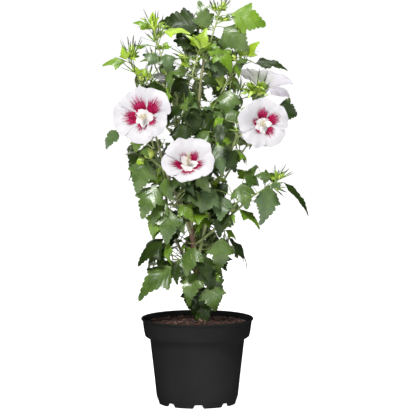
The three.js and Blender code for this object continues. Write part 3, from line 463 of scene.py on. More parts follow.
# A leaf's half outline, with the place on the midrib where the line to it starts, and its relief
RIM = [
    [0.0, 0.014, 0.0, 0.0], [0.055, 0.06, 0.01, 0.0], [0.115, 0.14, 0.018, 0.008],
    [0.17, 0.225, 0.026, 0.01], [0.212, 0.292, 0.032, -0.004], [0.245, 0.312, 0.037, -0.012],
    [0.268, 0.286, 0.042, 0.004], [0.305, 0.365, 0.046, 0.012], [0.35, 0.405, 0.05, -0.012],
    [0.375, 0.366, 0.055, 0.004], [0.415, 0.432, 0.058, 0.008], [0.47, 0.446, 0.062, -0.014],
    [0.496, 0.402, 0.085, 0.002], [0.486, 0.356, 0.11, 0.012], [0.522, 0.335, 0.14, -0.01],
    [0.514, 0.284, 0.18, 0.006], [0.524, 0.246, 0.22, 0.014], [0.565, 0.264, 0.26, 0.004],
    [0.612, 0.284, 0.3, -0.012], [0.645, 0.27, 0.35, 0.002], [0.658, 0.218, 0.4, 0.012],
    [0.708, 0.236, 0.45, 0.002], [0.748, 0.2, 0.5, -0.012], [0.758, 0.148, 0.56, 0.01],
    [0.808, 0.164, 0.61, 0.002], [0.85, 0.136, 0.66, -0.01], [0.862, 0.09, 0.72, 0.008],
    [0.908, 0.1, 0.78, 0.0], [0.95, 0.079, 0.84, -0.006], [0.984, 0.045, 0.91, 0.0],
    [1.0, 0.01, 1.0, 0.0],
]

# The rows of the outline that end a vein, that of the side lobe, and the rows of a plain and a coarse leaf
VEINS = [5, 8, 11, 14, 18, 22, 25]
LOBE_VEIN = 11
PLAIN_ROWS = [0, 2, 4, 5, 6, 8, 9, 11, 13, 14, 16, 18, 20, 22, 23, 25, 26, 28, 30]
COARSE_ROWS = [0, 3, 5, 8, 11, 14, 16, 18, 22, 25, 30]
FULL_ACROSS = [0.0, 0.3, 0.68, 1.0]
PLAIN_ACROSS = [0.0, 0.5, 1.0]

# A vein's stations across the leaf, with its half width at each
VEIN_TAPER = [[0.0, 0.006], [0.3, 0.005], [0.68, 0.0032], [0.9, 0.0008]]
MIDRIB_LIFT = -0.006
VEIN_LIFT = 0.004
LEAF_THICKNESS = 0.007

# A leaf as ten points and ten triangles, to test whether it has room
TEST_POINTS = np.array([
    [0.08, 0], [0.27, 0.29], [0.27, -0.29], [0.45, 0.4], [0.45, -0.4],
    [0.74, 0.18], [0.74, -0.18], [0.97, 0], [0.43, 0], [0.72, 0],
])
TEST_FACES = [
    (0, 1, 8), (0, 8, 2), (1, 3, 8), (2, 8, 4), (3, 5, 9),
    (3, 9, 8), (4, 8, 9), (4, 9, 6), (5, 7, 9), (6, 9, 7),
]

# Material numbers within each kind of piece, in the order of the lists of surfaces below
VEIN, YOUNG_VEIN, UNDER, YOUNG_UNDER, DEEP_VEIN, FRESH_VEIN = range(5, 11)
VEIN_OF_TONE = (DEEP_VEIN, VEIN, VEIN, FRESH_VEIN, YOUNG_VEIN)
UNDER_OF_TONE = (UNDER, UNDER, UNDER, YOUNG_UNDER, YOUNG_UNDER)
WHITE, CRIMSON, ROSE, PETAL_BACK_PAINTED_LIGHT = range(4)
PETALOID, CREAM, ANTHER = range(3)
STALK, BRACT, BRACT_TIP, BUD_PALE = range(4)
LEAF_STALK, TWIG_BARK = range(2)


def heading(azimuth, climb):
    """A direction from its compass angle, turning from +X to +Y, and its angle above level"""
    a = math.radians(azimuth)
    c = math.radians(climb)
    return Vector((math.cos(a) * math.cos(c), math.sin(a) * math.cos(c), math.sin(c)))


def frame_of(way):
    """Two directions square to a heading, the first of them as upright as it can be"""
    side = Vector((0, 0, 1)) - way * way.z
    side = side.normalized() if side.length > 1e-3 else Vector((1, 0, 0))
    return side, way.cross(side)


def seeded(seed):
    """Even draws from 0 to 1 that repeat for the same seed"""
    state = [seed * 7919]

    def draw():
        state[0] = (state[0] * 1664525 + 1013904223) % 2 ** 32
        return state[0] / 2 ** 32
    return draw


def between(draw, low, high):
    return low + (high - low) * draw()


class Curve:
    """A smooth curve through points, as the part's source has it"""

    def __init__(self, points):
        self.points = [Vector(p) for p in points]

    def at(self, t):
        points = self.points
        last = len(points) - 1
        place = last * min(max(t, 0.0), 1.0)
        i = min(int(place), last - 1)
        u = place - i
        b = points[i]
        c = points[i + 1]
        a = points[i - 1] if i > 0 else 2 * points[0] - points[1]
        d = points[i + 2] if i + 2 <= last else 2 * points[last] - points[last - 1]
        t0 = 0.5 * (c - a)
        t1 = 0.5 * (d - b)
        return (2 * b - 2 * c + t0 + t1) * u ** 3 + (3 * c - 3 * b - 2 * t0 - t1) * u ** 2 + t0 * u + b

    def way(self, t):
        """The direction in which the curve runs"""
        low = max(t - 0.0001, 0.0)
        high = min(t + 0.0001, 1.0)
        return (self.at(high) - self.at(low)).normalized()

    def length(self):
        steps = [self.at(i / 24) for i in range(25)]
        return sum((b - a).length for a, b in zip(steps, steps[1:]))


def cut_at(curve, share):
    """The first part of a curve"""
    return Curve([curve.at(share * k / 2) for k in range(3)])


def limb_curve(name):
    limb = LIMBS[name]
    points = [Vector(p) for p in limb["via"]]
    if "from" in limb:
        points.insert(0, limb_curve(limb["from"]).at(limb["along"]))
    return Curve(points)


def stem_curve(mass):
    points = [limb_curve(mass["limb"]).at(mass["along"]), Vector(mass["tip"])]
    if "via" in mass:
        points.insert(1, Vector(mass["via"]))
    return Curve(points)


class Batch:
    """Many small meshes gathered into one object, with a material number for each face"""

    def __init__(self):
        self.points = []
        self.faces = []
        self.kinds = []
        self.count = 0

    def add(self, points, faces, kinds):
        """points in millimetres, faces as rows of equal length, kinds a number or one for each face"""
        self.points.append(np.asarray(points, dtype=float))
        self.add_faces(faces, kinds, self.count)
        self.count += len(points)

    def add_faces(self, faces, kinds, first):
        """Faces whose points are counted from the batch's point number `first`"""
        self.faces.append(np.asarray(faces) + first)
        self.kinds.append(np.full(len(faces), kinds) if np.isscalar(kinds) else np.asarray(kinds))

    def build(self, name, materials, smooth=True):
        points = np.concatenate(self.points) * MM
        faces = [row for block in self.faces for row in block.tolist()]
        kinds = np.concatenate(self.kinds).astype(np.int32)
        mesh = bpy.data.meshes.new(name)
        mesh.from_pydata(points.tolist(), [], faces)
        for surface in materials:
            mesh.materials.append(surface)
        mesh.polygons.foreach_set("material_index", kinds)
        mesh.polygons.foreach_set("use_smooth", np.full(len(faces), smooth))
        mesh.update()
        piece = bpy.data.objects.new(name, mesh)
        bpy.context.scene.collection.objects.link(piece)
        return piece


def grid_faces(rows, columns, closed=False):
    """Quads over a grid of points, row by row. A closed grid joins its last column to its first."""
    i, j = np.meshgrid(np.arange(rows - 1), np.arange(columns if closed else columns - 1), indexing="ij")
    a = i * columns + j
    b = i * columns + (j + 1) % columns
    return np.stack([a, b, b + columns, a + columns], axis=-1).reshape(-1, 4)


def strip_faces(steps, first=0):
    """Quads along a ribbon whose points come in pairs"""
    k = first + 2 * np.arange(steps)
    return np.stack([k, k + 1, k + 3, k + 2], axis=1)


def tube(batch, curve, rings, sides, radius_at, kind, level=False, rough=None):
    """A round limb along a curve, closed at both ends. A level one is cut flat at its foot."""
    side = None
    points = []
    for i in range(rings):
        t = i / (rings - 1)
        centre = curve.at(t)
        way = Vector((0, 0, 1)) if i == 0 and level else curve.way(t)
        if side is None:
            side = Vector((0, 1, 0)) if abs(way.x) > 0.9 else Vector((1, 0, 0))
        side = (side - way * side.dot(way)).normalized()
        other = way.cross(side)
        for k in range(sides):
            angle = 2 * math.pi * k / sides
            radius = radius_at(t)
            if rough:
                radius *= 1 + rough(t, angle)
            points.append(centre + side * (radius * math.cos(angle)) + other * (radius * math.sin(angle)))
    start = len(points)
    end = start + 1
    fan = []
    for k in range(sides):
        n = (k + 1) % sides
        fan.append([start, n, k])
        fan.append([end, start - sides + k, start - sides + n])
    first = batch.count
    batch.add(points + [curve.at(0), curve.at(1)], grid_faces(rings, sides, closed=True), kind)
    batch.add_faces(fan, kind, first)


def settle(piece, nodes):
    """A finished piece rides with the plant and stands for its nodes"""
    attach(piece, "root")
    if nodes:
        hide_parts(*nodes)


# Materials

def in_patches(made, spot, base, second, scale, share):
    """Two close colours in soft patches, meeting between the two shares of the noise"""
    nodes = made.node_tree.nodes
    links = made.node_tree.links
    patches = nodes.new("ShaderNodeTexNoise")
    patches.inputs["Scale"].default_value = scale
    patches.inputs["Detail"].default_value = 4
    links.new(spot, patches.inputs["Vector"])
    ramp = nodes.new("ShaderNodeValToRGB")
    for stop, position, shade in zip(ramp.color_ramp.elements, share, (base, second)):
        stop.position = position
        stop.color = (*shade, 1)
    links.new(patches.outputs["Fac"], ramp.inputs["Fac"])
    return ramp.outputs["Color"]


def speckled(made, spot, colour, scale, size, dot_colour):
    """A colour with small dots of another"""
    nodes = made.node_tree.nodes
    links = made.node_tree.links
    dots = nodes.new("ShaderNodeTexVoronoi")
    dots.inputs["Scale"].default_value = scale
    links.new(spot, dots.inputs["Vector"])
    mark = nodes.new("ShaderNodeValToRGB")
    for stop, position, shade in zip(mark.color_ramp.elements, (size, size + 0.08), (1, 0)):
        stop.position = position
        stop.color = (shade, shade, shade, 1)
    links.new(dots.outputs["Distance"], mark.inputs["Fac"])
    mix = nodes.new("ShaderNodeMix")
    mix.data_type = "RGBA"
    links.new(mark.outputs["Color"], mix.inputs["Factor"])
    links.new(colour, mix.inputs["A"])
    mix.inputs["B"].default_value = (*dot_colour, 1)
    return mix.outputs["Result"]


def fine_relief(made, spot, scale, strength, depth):
    """A fine grain that catches the light"""
    nodes = made.node_tree.nodes
    links = made.node_tree.links
    fine = nodes.new("ShaderNodeTexNoise")
    fine.inputs["Scale"].default_value = scale
    fine.inputs["Detail"].default_value = 3
    links.new(spot, fine.inputs["Vector"])
    relief = nodes.new("ShaderNodeBump")
    relief.inputs["Strength"].default_value = strength
    relief.inputs["Distance"].default_value = depth
    links.new(fine.outputs["Fac"], relief.inputs["Height"])
    return relief.outputs["Normal"]


def material(name, base, second, rough=0.5, gloss=0.5, patch=60, grain=900, bump=0.15, coat=0.0,
             stretch=None, share=(0.35, 0.65), depth=0.0004, speckle=None):
    """A surface of two close colours in soft patches, with a fine grain in its relief.
    stretch draws its pattern out along an axis, and speckle is [scale, size, colour] of small dots."""
    made = bpy.data.materials.new(name)
    made.use_nodes = True
    nodes = made.node_tree.nodes
    links = made.node_tree.links
    shader = nodes["Principled BSDF"]
    place = nodes.new("ShaderNodeTexCoord").outputs["Object"]
    spot = place
    if stretch:
        mapping = nodes.new("ShaderNodeMapping")
        mapping.inputs["Scale"].default_value = stretch
        links.new(place, mapping.inputs["Vector"])
        spot = mapping.outputs["Vector"]
    colour = in_patches(made, spot, base, second, patch, share)
    if speckle:
        colour = speckled(made, place, colour, *speckle)
    links.new(colour, shader.inputs["Base Color"])
    links.new(fine_relief(made, spot, grain, bump, depth), shader.inputs["Normal"])
    shader.inputs["Roughness"].default_value = rough
    shader.inputs["Specular IOR Level"].default_value = gloss
    if coat:
        shader.inputs["Coat Weight"].default_value = coat
        shader.inputs["Coat Roughness"].default_value = 0.28
    return made


def leaf_surface(name, base, second, rough=0.38, gloss=0.45):
    return material(name, base, second, rough=rough, gloss=gloss, patch=45, grain=650, bump=0.25)


def petal_surface(name, base, second, rough=0.6, patch=120, grain=900, bump=0.12):
    return material(name, base, second, rough=rough, gloss=0.15, patch=patch, grain=grain, bump=bump)


LEAF_SURFACES = [
    leaf_surface("leaf_deep", (0.011, 0.024, 0.003), (0.022, 0.042, 0.005), gloss=0.22),
    leaf_surface("leaf_middle", (0.04, 0.081, 0.01), (0.088, 0.147, 0.03), rough=0.34, gloss=0.55),
    # The pale tone is a greyish green, partly the leaves' own colour and partly painted sheen
    leaf_surface("leaf_pale_sheen", (0.058, 0.104, 0.036), (0.088, 0.145, 0.052), rough=0.4),
    leaf_surface("leaf_fresh", (0.078, 0.165, 0.006), (0.135, 0.235, 0.012)),
    leaf_surface("leaf_young", (0.2, 0.32, 0.012), (0.28, 0.41, 0.024)),
    leaf_surface("leaf_vein", (0.09, 0.145, 0.03), (0.12, 0.18, 0.042)),
    leaf_surface("leaf_vein_young", (0.32, 0.43, 0.07), (0.38, 0.48, 0.1)),
    leaf_surface("leaf_under", (0.088, 0.136, 0.032), (0.112, 0.168, 0.044), rough=0.65),
    leaf_surface("leaf_under_young", (0.224, 0.336, 0.04), (0.272, 0.384, 0.056), rough=0.65),
    leaf_surface("leaf_vein_deep", (0.026, 0.048, 0.009), (0.042, 0.07, 0.015), gloss=0.22),
    leaf_surface("leaf_vein_fresh", (0.17, 0.27, 0.03), (0.21, 0.32, 0.045)),
]
PETAL_SURFACES = [
    petal_surface("petal_white", (0.45, 0.437, 0.457), (0.49, 0.477, 0.492), patch=35, grain=400),
    petal_surface("petal_crimson", (0.19, 0.001, 0.024), (0.34, 0.002, 0.055)),
    petal_surface("petal_rose", (0.42, 0.04, 0.17), (0.5, 0.1, 0.26), bump=0.1),
    # The back: the petal's white-lilac made far paler than the front, as painted light shining through
    petal_surface("petal_back_painted_light", (0.88, 0.82, 0.93), (0.93, 0.88, 0.97), rough=0.65, patch=35, grain=400),
]
HEART_SURFACES = [
    material("petaloid_white", (0.55, 0.52, 0.52), (0.6, 0.58, 0.57), rough=0.6, patch=80),
    material("column_cream", (0.52, 0.46, 0.32), (0.58, 0.54, 0.43), rough=0.55, patch=200, bump=0.1),
    material("anther_cream", (0.53, 0.46, 0.27), (0.59, 0.54, 0.38), rough=0.7, patch=500, bump=0.2),
]
GREEN_SURFACES = [
    material("stalk_green", (0.16, 0.24, 0.04), (0.216, 0.288, 0.064), patch=90, bump=0.12, coat=0.1),
    material("bract_green", (0.11, 0.205, 0.014), (0.18, 0.3, 0.035), patch=120),
    material("bract_tip", (0.028, 0.04, 0.016), (0.048, 0.056, 0.024), rough=0.6, patch=200),
    material("bud_pale", (0.38, 0.48, 0.06), (0.48, 0.56, 0.13), patch=90),
]
BROWN_BARK = material(
    "bark_brown", (0.17, 0.09, 0.06), (0.34, 0.21, 0.15), rough=0.82, patch=55, grain=260, bump=0.9,
    stretch=(1, 1, 0.22), depth=0.0012, speckle=(420, 0.16, (0.42, 0.3, 0.22)))
OLIVE_BARK = material(
    "bark_olive", (0.21, 0.21, 0.1), (0.36, 0.34, 0.19), rough=0.7, patch=50, grain=300, bump=0.6,
    stretch=(1, 1, 0.25), depth=0.0008, speckle=(520, 0.14, (0.4, 0.34, 0.22)))
GREENWOOD = material(
    "bark_green", (0.2, 0.25, 0.08), (0.34, 0.39, 0.16), rough=0.55, patch=60, grain=320, bump=0.35,
    stretch=(1, 1, 0.3), depth=0.0006, speckle=(520, 0.13, (0.42, 0.44, 0.22)))
TWIG_SURFACES = [GREEN_SURFACES[STALK], GREENWOOD]
BARK_OF_LIMB = {
    "trunk": BROWN_BARK, "leader": OLIVE_BARK, "left_bough": OLIVE_BARK, "back_left_bough": OLIVE_BARK,
}
POT_SURFACE = material(
    "pot_plastic", (0.0086, 0.0087, 0.0088), (0.0114, 0.0115, 0.0117), rough=0.55, gloss=0.0, patch=14,
    grain=1500, bump=0.1, share=(0.3, 0.75), depth=0.0002)
SOIL_SURFACES = [
    material("soil_dark", (0.012, 0.006, 0.005), (0.03, 0.013, 0.01), rough=0.95, patch=260, grain=700,
             bump=1, depth=0.0015),
    material("soil_brown", (0.034, 0.015, 0.01), (0.06, 0.026, 0.018), rough=0.95, patch=300, bump=0.8,
             depth=0.001),
    material("soil_russet", (0.065, 0.022, 0.014), (0.1, 0.038, 0.024), rough=0.95, patch=300, bump=0.8,
             depth=0.001),
    material("soil_tan", (0.12, 0.066, 0.045), (0.17, 0.1, 0.07), rough=0.95, patch=300, bump=0.8,
             depth=0.001),
]


# Pot: its outside from the foot up and over the lip, as [radius, height], and its underside and inside

POT = {
    "under": [[0.5, 0.0], [16.0, 0.0], [16.0, 6.5], [40.0, 6.5], [62.7, 6.5], [62.7, 0.3]],
    "foot": [[64.4, 0.0], [65.8, 0.0], [66.2, 0.5], [67.4, 5.6], [67.9, 7.0], [69.3, 10.8], [69.9, 12.5]],
    "body": [
        [70.3, 15.0], [72.5, 35.2], [75.6, 63.0], [78.8, 90.8], [80.7, 107.8], [81.0, 110.6], [81.5, 111.6],
        [83.2, 113.0], [86.6, 115.0],
    ],
    "band": [[88.7, 116.4], [89.7, 117.6], [90.1, 119.0], [91.4, 125.6], [92.7, 134.2], [93.6, 141.6]],
    "lip": [[93.9, 142.9], [94.8, 144.2], [95.9, 145.0], [96.3, 146.0], [96.2, 147.2], [95.6, 148.0]],
    "inside": [
        [93.9, 147.9], [92.7, 147.5], [92.2, 146.4], [90.8, 138.0], [88.6, 121.5], [84.0, 116.3],
        [80.2, 113.9], [77.6, 97.0],
    ],
    "around": 320,
}

# The foot's drain notches: how many, the foot's middle radius, their half widths at the foot and at the
# roof, how high the roof is and how far the first is turned. Points between the two radii, and lower than
# `under`, go up.
NOTCH = {
    "count": 8, "radius": 66, "low": 9.5, "high": 6.0, "roof": 6.4, "turn": 2,
    "inner": 58, "outer": 67.6, "under": 6,
}

# The pot above this height is a hair out of round
OUT_OF_ROUND = {"from": 100, "share": 0.0012, "turn": 0.7}


def turned_body(name, profile, around):
    """A body of revolution: a circle, extruded and widened or drawn in, ring by ring along its profile"""
    radius, height = profile[0]
    bpy.ops.object.select_all(action="DESELECT")
    bpy.ops.mesh.primitive_circle_add(
        vertices=around, radius=radius * MM, calc_uvs=False, location=(0, 0, height * MM))
    piece = bpy.context.object
    piece.name = name
    piece.data.name = name
    bpy.ops.object.mode_set(mode="EDIT")
    for ring_radius, ring_height in profile[1:]:
        wider = ring_radius / radius
        rise = (ring_height - height) * MM
        bpy.ops.mesh.extrude_edges_move(TRANSFORM_OT_translate={"value": (0, 0, rise)})
        bpy.ops.transform.resize(value=(wider, wider, 1), center_override=(0, 0, ring_height * MM))
        radius = ring_radius
        height = ring_height
    bpy.ops.mesh.select_all(action="SELECT")
    bpy.ops.mesh.normals_make_consistent(inside=False)
    bpy.ops.mesh.select_all(action="DESELECT")
    bpy.ops.object.mode_set(mode="OBJECT")
    bpy.ops.object.shade_smooth()
    return piece


def places_of(piece):
    """All points of a piece as rows of x, y and z, in millimetres"""
    places = np.empty(3 * len(piece.data.vertices))
    piece.data.vertices.foreach_get("co", places)
    return places.reshape(-1, 3) / MM


def raise_notches(pot):
    """The foot goes up to the roof of each notch, one column of points after another"""
    places = places_of(pot)
    radius = np.hypot(places[:, 0], places[:, 1])
    columns = POT["around"] // NOTCH["count"]
    step = 360 / POT["around"]
    column_of = np.rint(np.degrees(np.arctan2(places[:, 1], places[:, 0])) / step) % columns
    in_foot = (NOTCH["inner"] < radius) & (radius < NOTCH["outer"]) & (places[:, 2] < NOTCH["under"])
    for column in range(columns):
        turned = (column * step - NOTCH["turn"]) % (columns * step)
        away = math.radians(min(turned, columns * step - turned)) * NOTCH["radius"]
        share = min(1.0, (NOTCH["low"] - away) / (NOTCH["low"] - NOTCH["high"]))
        roof = NOTCH["roof"] * share
        chosen = in_foot & (column_of == column) & (places[:, 2] < roof)
        if not chosen.any():
            continue
        pot.data.vertices.foreach_set("select", chosen)
        bpy.ops.object.mode_set(mode="EDIT")
        bpy.ops.transform.resize(value=(1, 1, 0), center_override=(0, 0, roof * MM))
        bpy.ops.mesh.select_all(action="DESELECT")
        bpy.ops.object.mode_set(mode="OBJECT")


def ease_out_of_round(pot):
    """Thin moulded pots are never quite round at the top"""
    places = places_of(pot)
    angle = np.arctan2(places[:, 1], places[:, 0])
    wobble = 1 + OUT_OF_ROUND["share"] * np.sin(2 * angle + OUT_OF_ROUND["turn"])
    upper = places[:, 2] > OUT_OF_ROUND["from"]
    places[upper, :2] *= wobble[upper, None]
    pot.data.vertices.foreach_set("co", places.ravel() * MM)
    pot.data.update()


def make_pot():
    profile = POT["under"] + POT["foot"] + POT["body"] + POT["band"] + POT["lip"] + POT["inside"]
    pot = turned_body("pot_shell", profile, POT["around"])
    raise_notches(pot)
    ease_out_of_round(pot)
    pot.data.materials.append(POT_SURFACE)
    settle(pot, ["pot"])


# Soil: a heaped surface, with crumbs strewn over it

SOIL = {
    "radius": 90.2, "rings": 46, "around": 120, "heap": [[0, 15, 50, 91], [142.5, 142.5, 140.7, 138]],
    "seed": 31, "crumbs": 1500, "strewn": 89, "stem": 11, "edge": 89.5,
}
CRUMB_CORNERS = [[x, y, z] for z in (-1, 1) for x, y in ((-1, -1), (1, -1), (1, 1), (-1, 1))]
CRUMB_FACES = [(0, 3, 2, 1), (4, 5, 6, 7), (0, 1, 5, 4), (1, 2, 6, 5), (2, 3, 7, 6), (3, 0, 4, 7)]


def soil_height(x, y):
    r = math.hypot(x, y)
    heap = np.interp(r, *SOIL["heap"])
    lumps = 1.6 * noise.noise(Vector((x, y, 0)) * 0.06) + 0.9 * noise.noise(Vector((x, y, 40)) * 0.19)
    return heap - 0.4 + lumps * min(1.0, max(0.0, (r - 8) / 8))


def soil_crumb(batch, x, y, size, long, flat, draw):
    """A rough block of soil or bark, lying nearly flat"""
    turn = Matrix.Rotation(6.28 * draw(), 3, "Z") @ Matrix.Rotation(between(draw, -0.5, 0.5), 3, "Y")
    turn = turn @ Matrix.Rotation(between(draw, -0.6, 0.6), 3, "X")
    centre = Vector((x, y, soil_height(x, y) + 0.25 * flat))
    corners = []
    for cx, cy, cz in CRUMB_CORNERS:
        out = cx * long * between(draw, 0.3, 0.6)
        side = cy * size * between(draw, 0.3, 0.6)
        corners.append(centre + turn @ Vector((out, side, cz * flat * 0.5)))
    luck = draw()
    kind = 0 if luck < 0.35 else 1 if luck < 0.7 else 2 if luck < 0.93 else 3
    batch.add(corners, CRUMB_FACES, kind)


def make_soil():
    batch = Batch()
    points = []
    for i in range(SOIL["rings"]):
        r = 0.6 + (SOIL["radius"] - 0.6) * i / (SOIL["rings"] - 1)
        for k in range(SOIL["around"]):
            angle = 2 * math.pi * k / SOIL["around"]
            x = r * math.cos(angle)
            y = r * math.sin(angle)
            points.append([x, y, soil_height(x, y) + 0.5 * noise.noise(Vector((x, y, 9)) * 0.6)])
    batch.add(points, grid_faces(SOIL["rings"], SOIL["around"], closed=True), 0)
    draw = seeded(SOIL["seed"])
    for _ in range(SOIL["crumbs"]):
        r = SOIL["strewn"] * math.sqrt(draw())
        angle = 2 * math.pi * draw()
        if r < SOIL["stem"]:
            continue
        size = between(draw, 1.0, 3.4)
        long = size * between(draw, 1.0, 3.2)
        flat = size * between(draw, 0.3, 0.8)
        if r + long <= SOIL["edge"]:
            soil_crumb(batch, r * math.cos(angle), r * math.sin(angle), size, long, flat, draw)
    soil = batch.build("soil_crumbs", SOIL_SURFACES, smooth=False)
    settle(soil, ["soil"])


# Room: where new growth may stand

class Room:
    """What already stands in the crown, so that new growth keeps clear of it"""

    def __init__(self):
        most = 6000
        self.low = np.full((most, 3), 1e9)
        self.high = np.full((most, 3), -1e9)
        self.trees = []

    def add(self, points, faces):
        k = len(self.trees)
        self.low[k] = points.min(axis=0)
        self.high[k] = points.max(axis=0)
        self.trees.append(BVHTree.FromPolygons(points.tolist(), faces))

    def free(self, points, faces):
        inside = (self.low < points.max(axis=0)) & (self.high > points.min(axis=0))
        near = np.nonzero(inside.all(axis=1))[0]
        if len(near) == 0:
            return True
        tree = BVHTree.FromPolygons(points.tolist(), faces)
        return not any(tree.overlap(self.trees[k]) for k in near)


room = Room()
view_blooms = []
view_leaves = []


def shows_well(points):
    """From the front, new growth leaves free the blooms, showing leaves, the sky and the air about it"""
    x = points[:, 0]
    seen = points[:, 2] + TILT * points[:, 1]
    heights, left, right = np.array(OUTLINE).T
    if (x < np.interp(seen, heights, left)).any() or (x > np.interp(seen, heights, right)).any():
        return False
    if seen.max() > HIGHEST or points[:, 2].min() < LOWEST:
        return False
    for sky_x, sky_z, half_x, half_z in SKY:
        if (((x - sky_x) / half_x) ** 2 + ((seen - sky_z) / half_z) ** 2 < 1).any():
            return False
    for x0, z0, x1, z1, half, depth in BARE:
        run = (x1 - x0) ** 2 + (z1 - z0) ** 2
        share = np.clip(((x - x0) * (x1 - x0) + (seen - z0) * (z1 - z0)) / run, 0, 1)
        away = (x - x0 - share * (x1 - x0)) ** 2 + (seen - z0 - share * (z1 - z0)) ** 2
        if ((away < half * half) & (points[:, 1] < depth + 4)).any():
            return False
    for place, half in view_leaves:
        away = (x - place.x) ** 2 + (seen - place.z - TILT * place.y) ** 2
        if ((away < half * half) & (points[:, 1] < place.y)).any():
            return False
    for centre, radius in view_blooms:
        away = (x - centre.x) ** 2 + (seen - centre.z - TILT * centre.y) ** 2
        if ((away < (0.96 * radius) ** 2) & (points[:, 1] < centre.y + 6)).any():
            return False
    return True


# Leaves

def leaf_form(rows, across, veins):
    """A leaf's points as [along, out, relief], its faces, and their kinds: 0 blade, 1 vein, 2 underside"""
    rim = np.array([RIM[i] for i in rows])
    even = rim[:, 1].copy()
    even[1:-1] = 0.25 * rim[:-2, 1] + 0.5 * rim[1:-1, 1] + 0.25 * rim[2:, 1]
    shares = [-u for u in reversed(across[1:])] + list(across)

    def relief_at(r, u):
        return 0.45 * rim[r, 3] * math.sin(math.pi * min(1, 0.1 + abs(u))) if u else MIDRIB_LIFT

    def along_at(r, u):
        return rim[r, 2] + (rim[r, 0] - rim[r, 2]) * abs(u)

    points = []
    for r in range(len(rows)):
        for u in shares:
            out = rim[r, 1] if abs(u) == 1 else even[r]
            points.append([along_at(r, u), out * u, relief_at(r, u)])
    quads = grid_faces(len(rows), len(shares))
    under = np.array(points)
    under[:, 2] -= LEAF_THICKNESS
    faces = [quads, quads[:, ::-1] + len(points)]
    kinds = [np.zeros(len(quads), int), np.full(len(quads), 2)]
    points = points + under.tolist()

    def strip(stations):
        """A slim raised vein through stations of [along, out, relief, half width]"""
        faces.append(strip_faces(len(stations) - 1, len(points)))
        kinds.append(np.full(len(stations) - 1, 1))
        for k, (t, w, lift, half) in enumerate(stations):
            a = stations[max(k - 1, 0)]
            b = stations[min(k + 1, len(stations) - 1)]
            size = math.hypot(b[0] - a[0], b[1] - a[1])
            turn = [-(b[1] - a[1]) / size * half, (b[0] - a[0]) / size * half]
            points.append([t - turn[0], w - turn[1], lift + VEIN_LIFT])
            points.append([t + turn[0], w + turn[1], lift + VEIN_LIFT])

    last = len(rows) - 1
    strip([[rim[r, 2], 0, MIDRIB_LIFT, 0.011 - 0.0095 * r / last] for r in range(len(rows))])
    for i in veins:
        r = rows.index(i)
        strong = 1.5 if i == LOBE_VEIN else 1
        for side in (-1, 1):
            strip([[along_at(r, u), side * even[r] * u, relief_at(r, u), half * strong]
                   for u, half in VEIN_TAPER])
    return np.array(points), np.concatenate(faces), np.concatenate(kinds)


FULL_LEAF = leaf_form(list(range(len(RIM))), FULL_ACROSS, VEINS)
PLAIN_LEAF = leaf_form(PLAIN_ROWS, PLAIN_ACROSS, [LOBE_VEIN])

# Only the upper side of the coarse leaf, to test what it would hide
COARSE_POINTS = leaf_form(COARSE_ROWS, PLAIN_ACROSS, [])[0][:5 * len(COARSE_ROWS)]


def leaf_habit(draw):
    """How one leaf turns, curls and folds, as the part's source draws it"""
    turn = Vector((draw() - 0.5, draw() - 0.5, draw() - 0.5)) * TURN_SPREAD
    curl = between(draw, *CURL)
    return turn, curl, between(draw, *FOLD)


class Leaf:
    """One leaf on its stalk, placed by the rule of the part's source and bent further by wild draws"""

    def __init__(self, root, row, facing, habit, wild):
        azimuth, climb, stalk, hang, blade = row[:5]
        roll = row[5] if len(row) > 5 else 0
        turn, self.curl, self.fold = habit
        self.root = root
        self.base = root + heading(azimuth, climb) * stalk
        self.along = heading(azimuth, hang)
        up = facing + turn
        up = (up - self.along * up.dot(self.along)).normalized()
        self.up = Matrix.Rotation(math.radians(roll), 3, self.along) @ up
        self.across = self.along.cross(self.up)
        self.blade = blade
        self.ruffle = between(wild, 0.028, 0.07)
        self.phase = wild()
        self.twist = between(wild, -0.5, 0.5)
        self.hook = between(wild, 0.3, 2.0)
        self.lobes = between(wild, 0.6, 3.8)
        self.sway = between(wild, -0.1, 0.1)
        self.width = between(wild, 0.88, 1.14)
        self.slant = between(wild, -0.24, 0.12)

    def place(self, flat):
        """Rows of [along, out, relief] as points on this leaf, in millimetres"""
        w = flat[:, 1] * self.width
        out = np.abs(w)
        t = flat[:, 0] + self.slant * out * (1 - flat[:, 0])
        lift = flat[:, 2] if flat.shape[1] > 2 else 0
        wave = np.sin(2 * math.pi * (1.9 * t + self.phase + 0.25 * np.sign(w))) * (out / 0.4) ** 1.4
        height = lift + self.fold * out - self.curl * t ** 2 + self.ruffle * wave
        height += self.twist * w * (t - 0.3) * 0.6
        height -= self.hook * np.maximum(t - 0.5, 0) ** 2 + self.lobes * np.maximum(out - 0.16, 0) ** 2
        side = w + self.sway * t ** 2
        axes = np.array([self.along, self.across, self.up]) * self.blade
        return np.array(self.base) + np.stack([t, side, height], axis=1) @ axes


# Growth

grown = []
twig_list = []


def tone_of(leaf, wild):
    """Leaves are younger and fresher towards the top and the outside"""
    height = leaf.base.z + 40 * (wild() - 0.5)
    luck = wild()
    if leaf.blade < 30 and luck < 0.4:
        return FRESH
    if height > 560:
        return FRESH if luck < 0.4 else MIDDLE if luck < 0.75 else PALE_SHEEN
    if height > 400:
        return DEEP if luck < 0.5 else MIDDLE if luck < 0.85 else PALE_SHEEN if luck < 0.95 else FRESH
    return DEEP if luck < 0.33 else MIDDLE if luck < 0.78 else PALE_SHEEN if luck < 0.985 else FRESH


def keep(leaf, tone, form):
    """A leaf joins the crown, with its tone and its form, and takes its room there"""
    leaf.tone = tone
    leaf.form = form
    grown.append(leaf)
    room.add(leaf.place(TEST_POINTS), TEST_FACES)


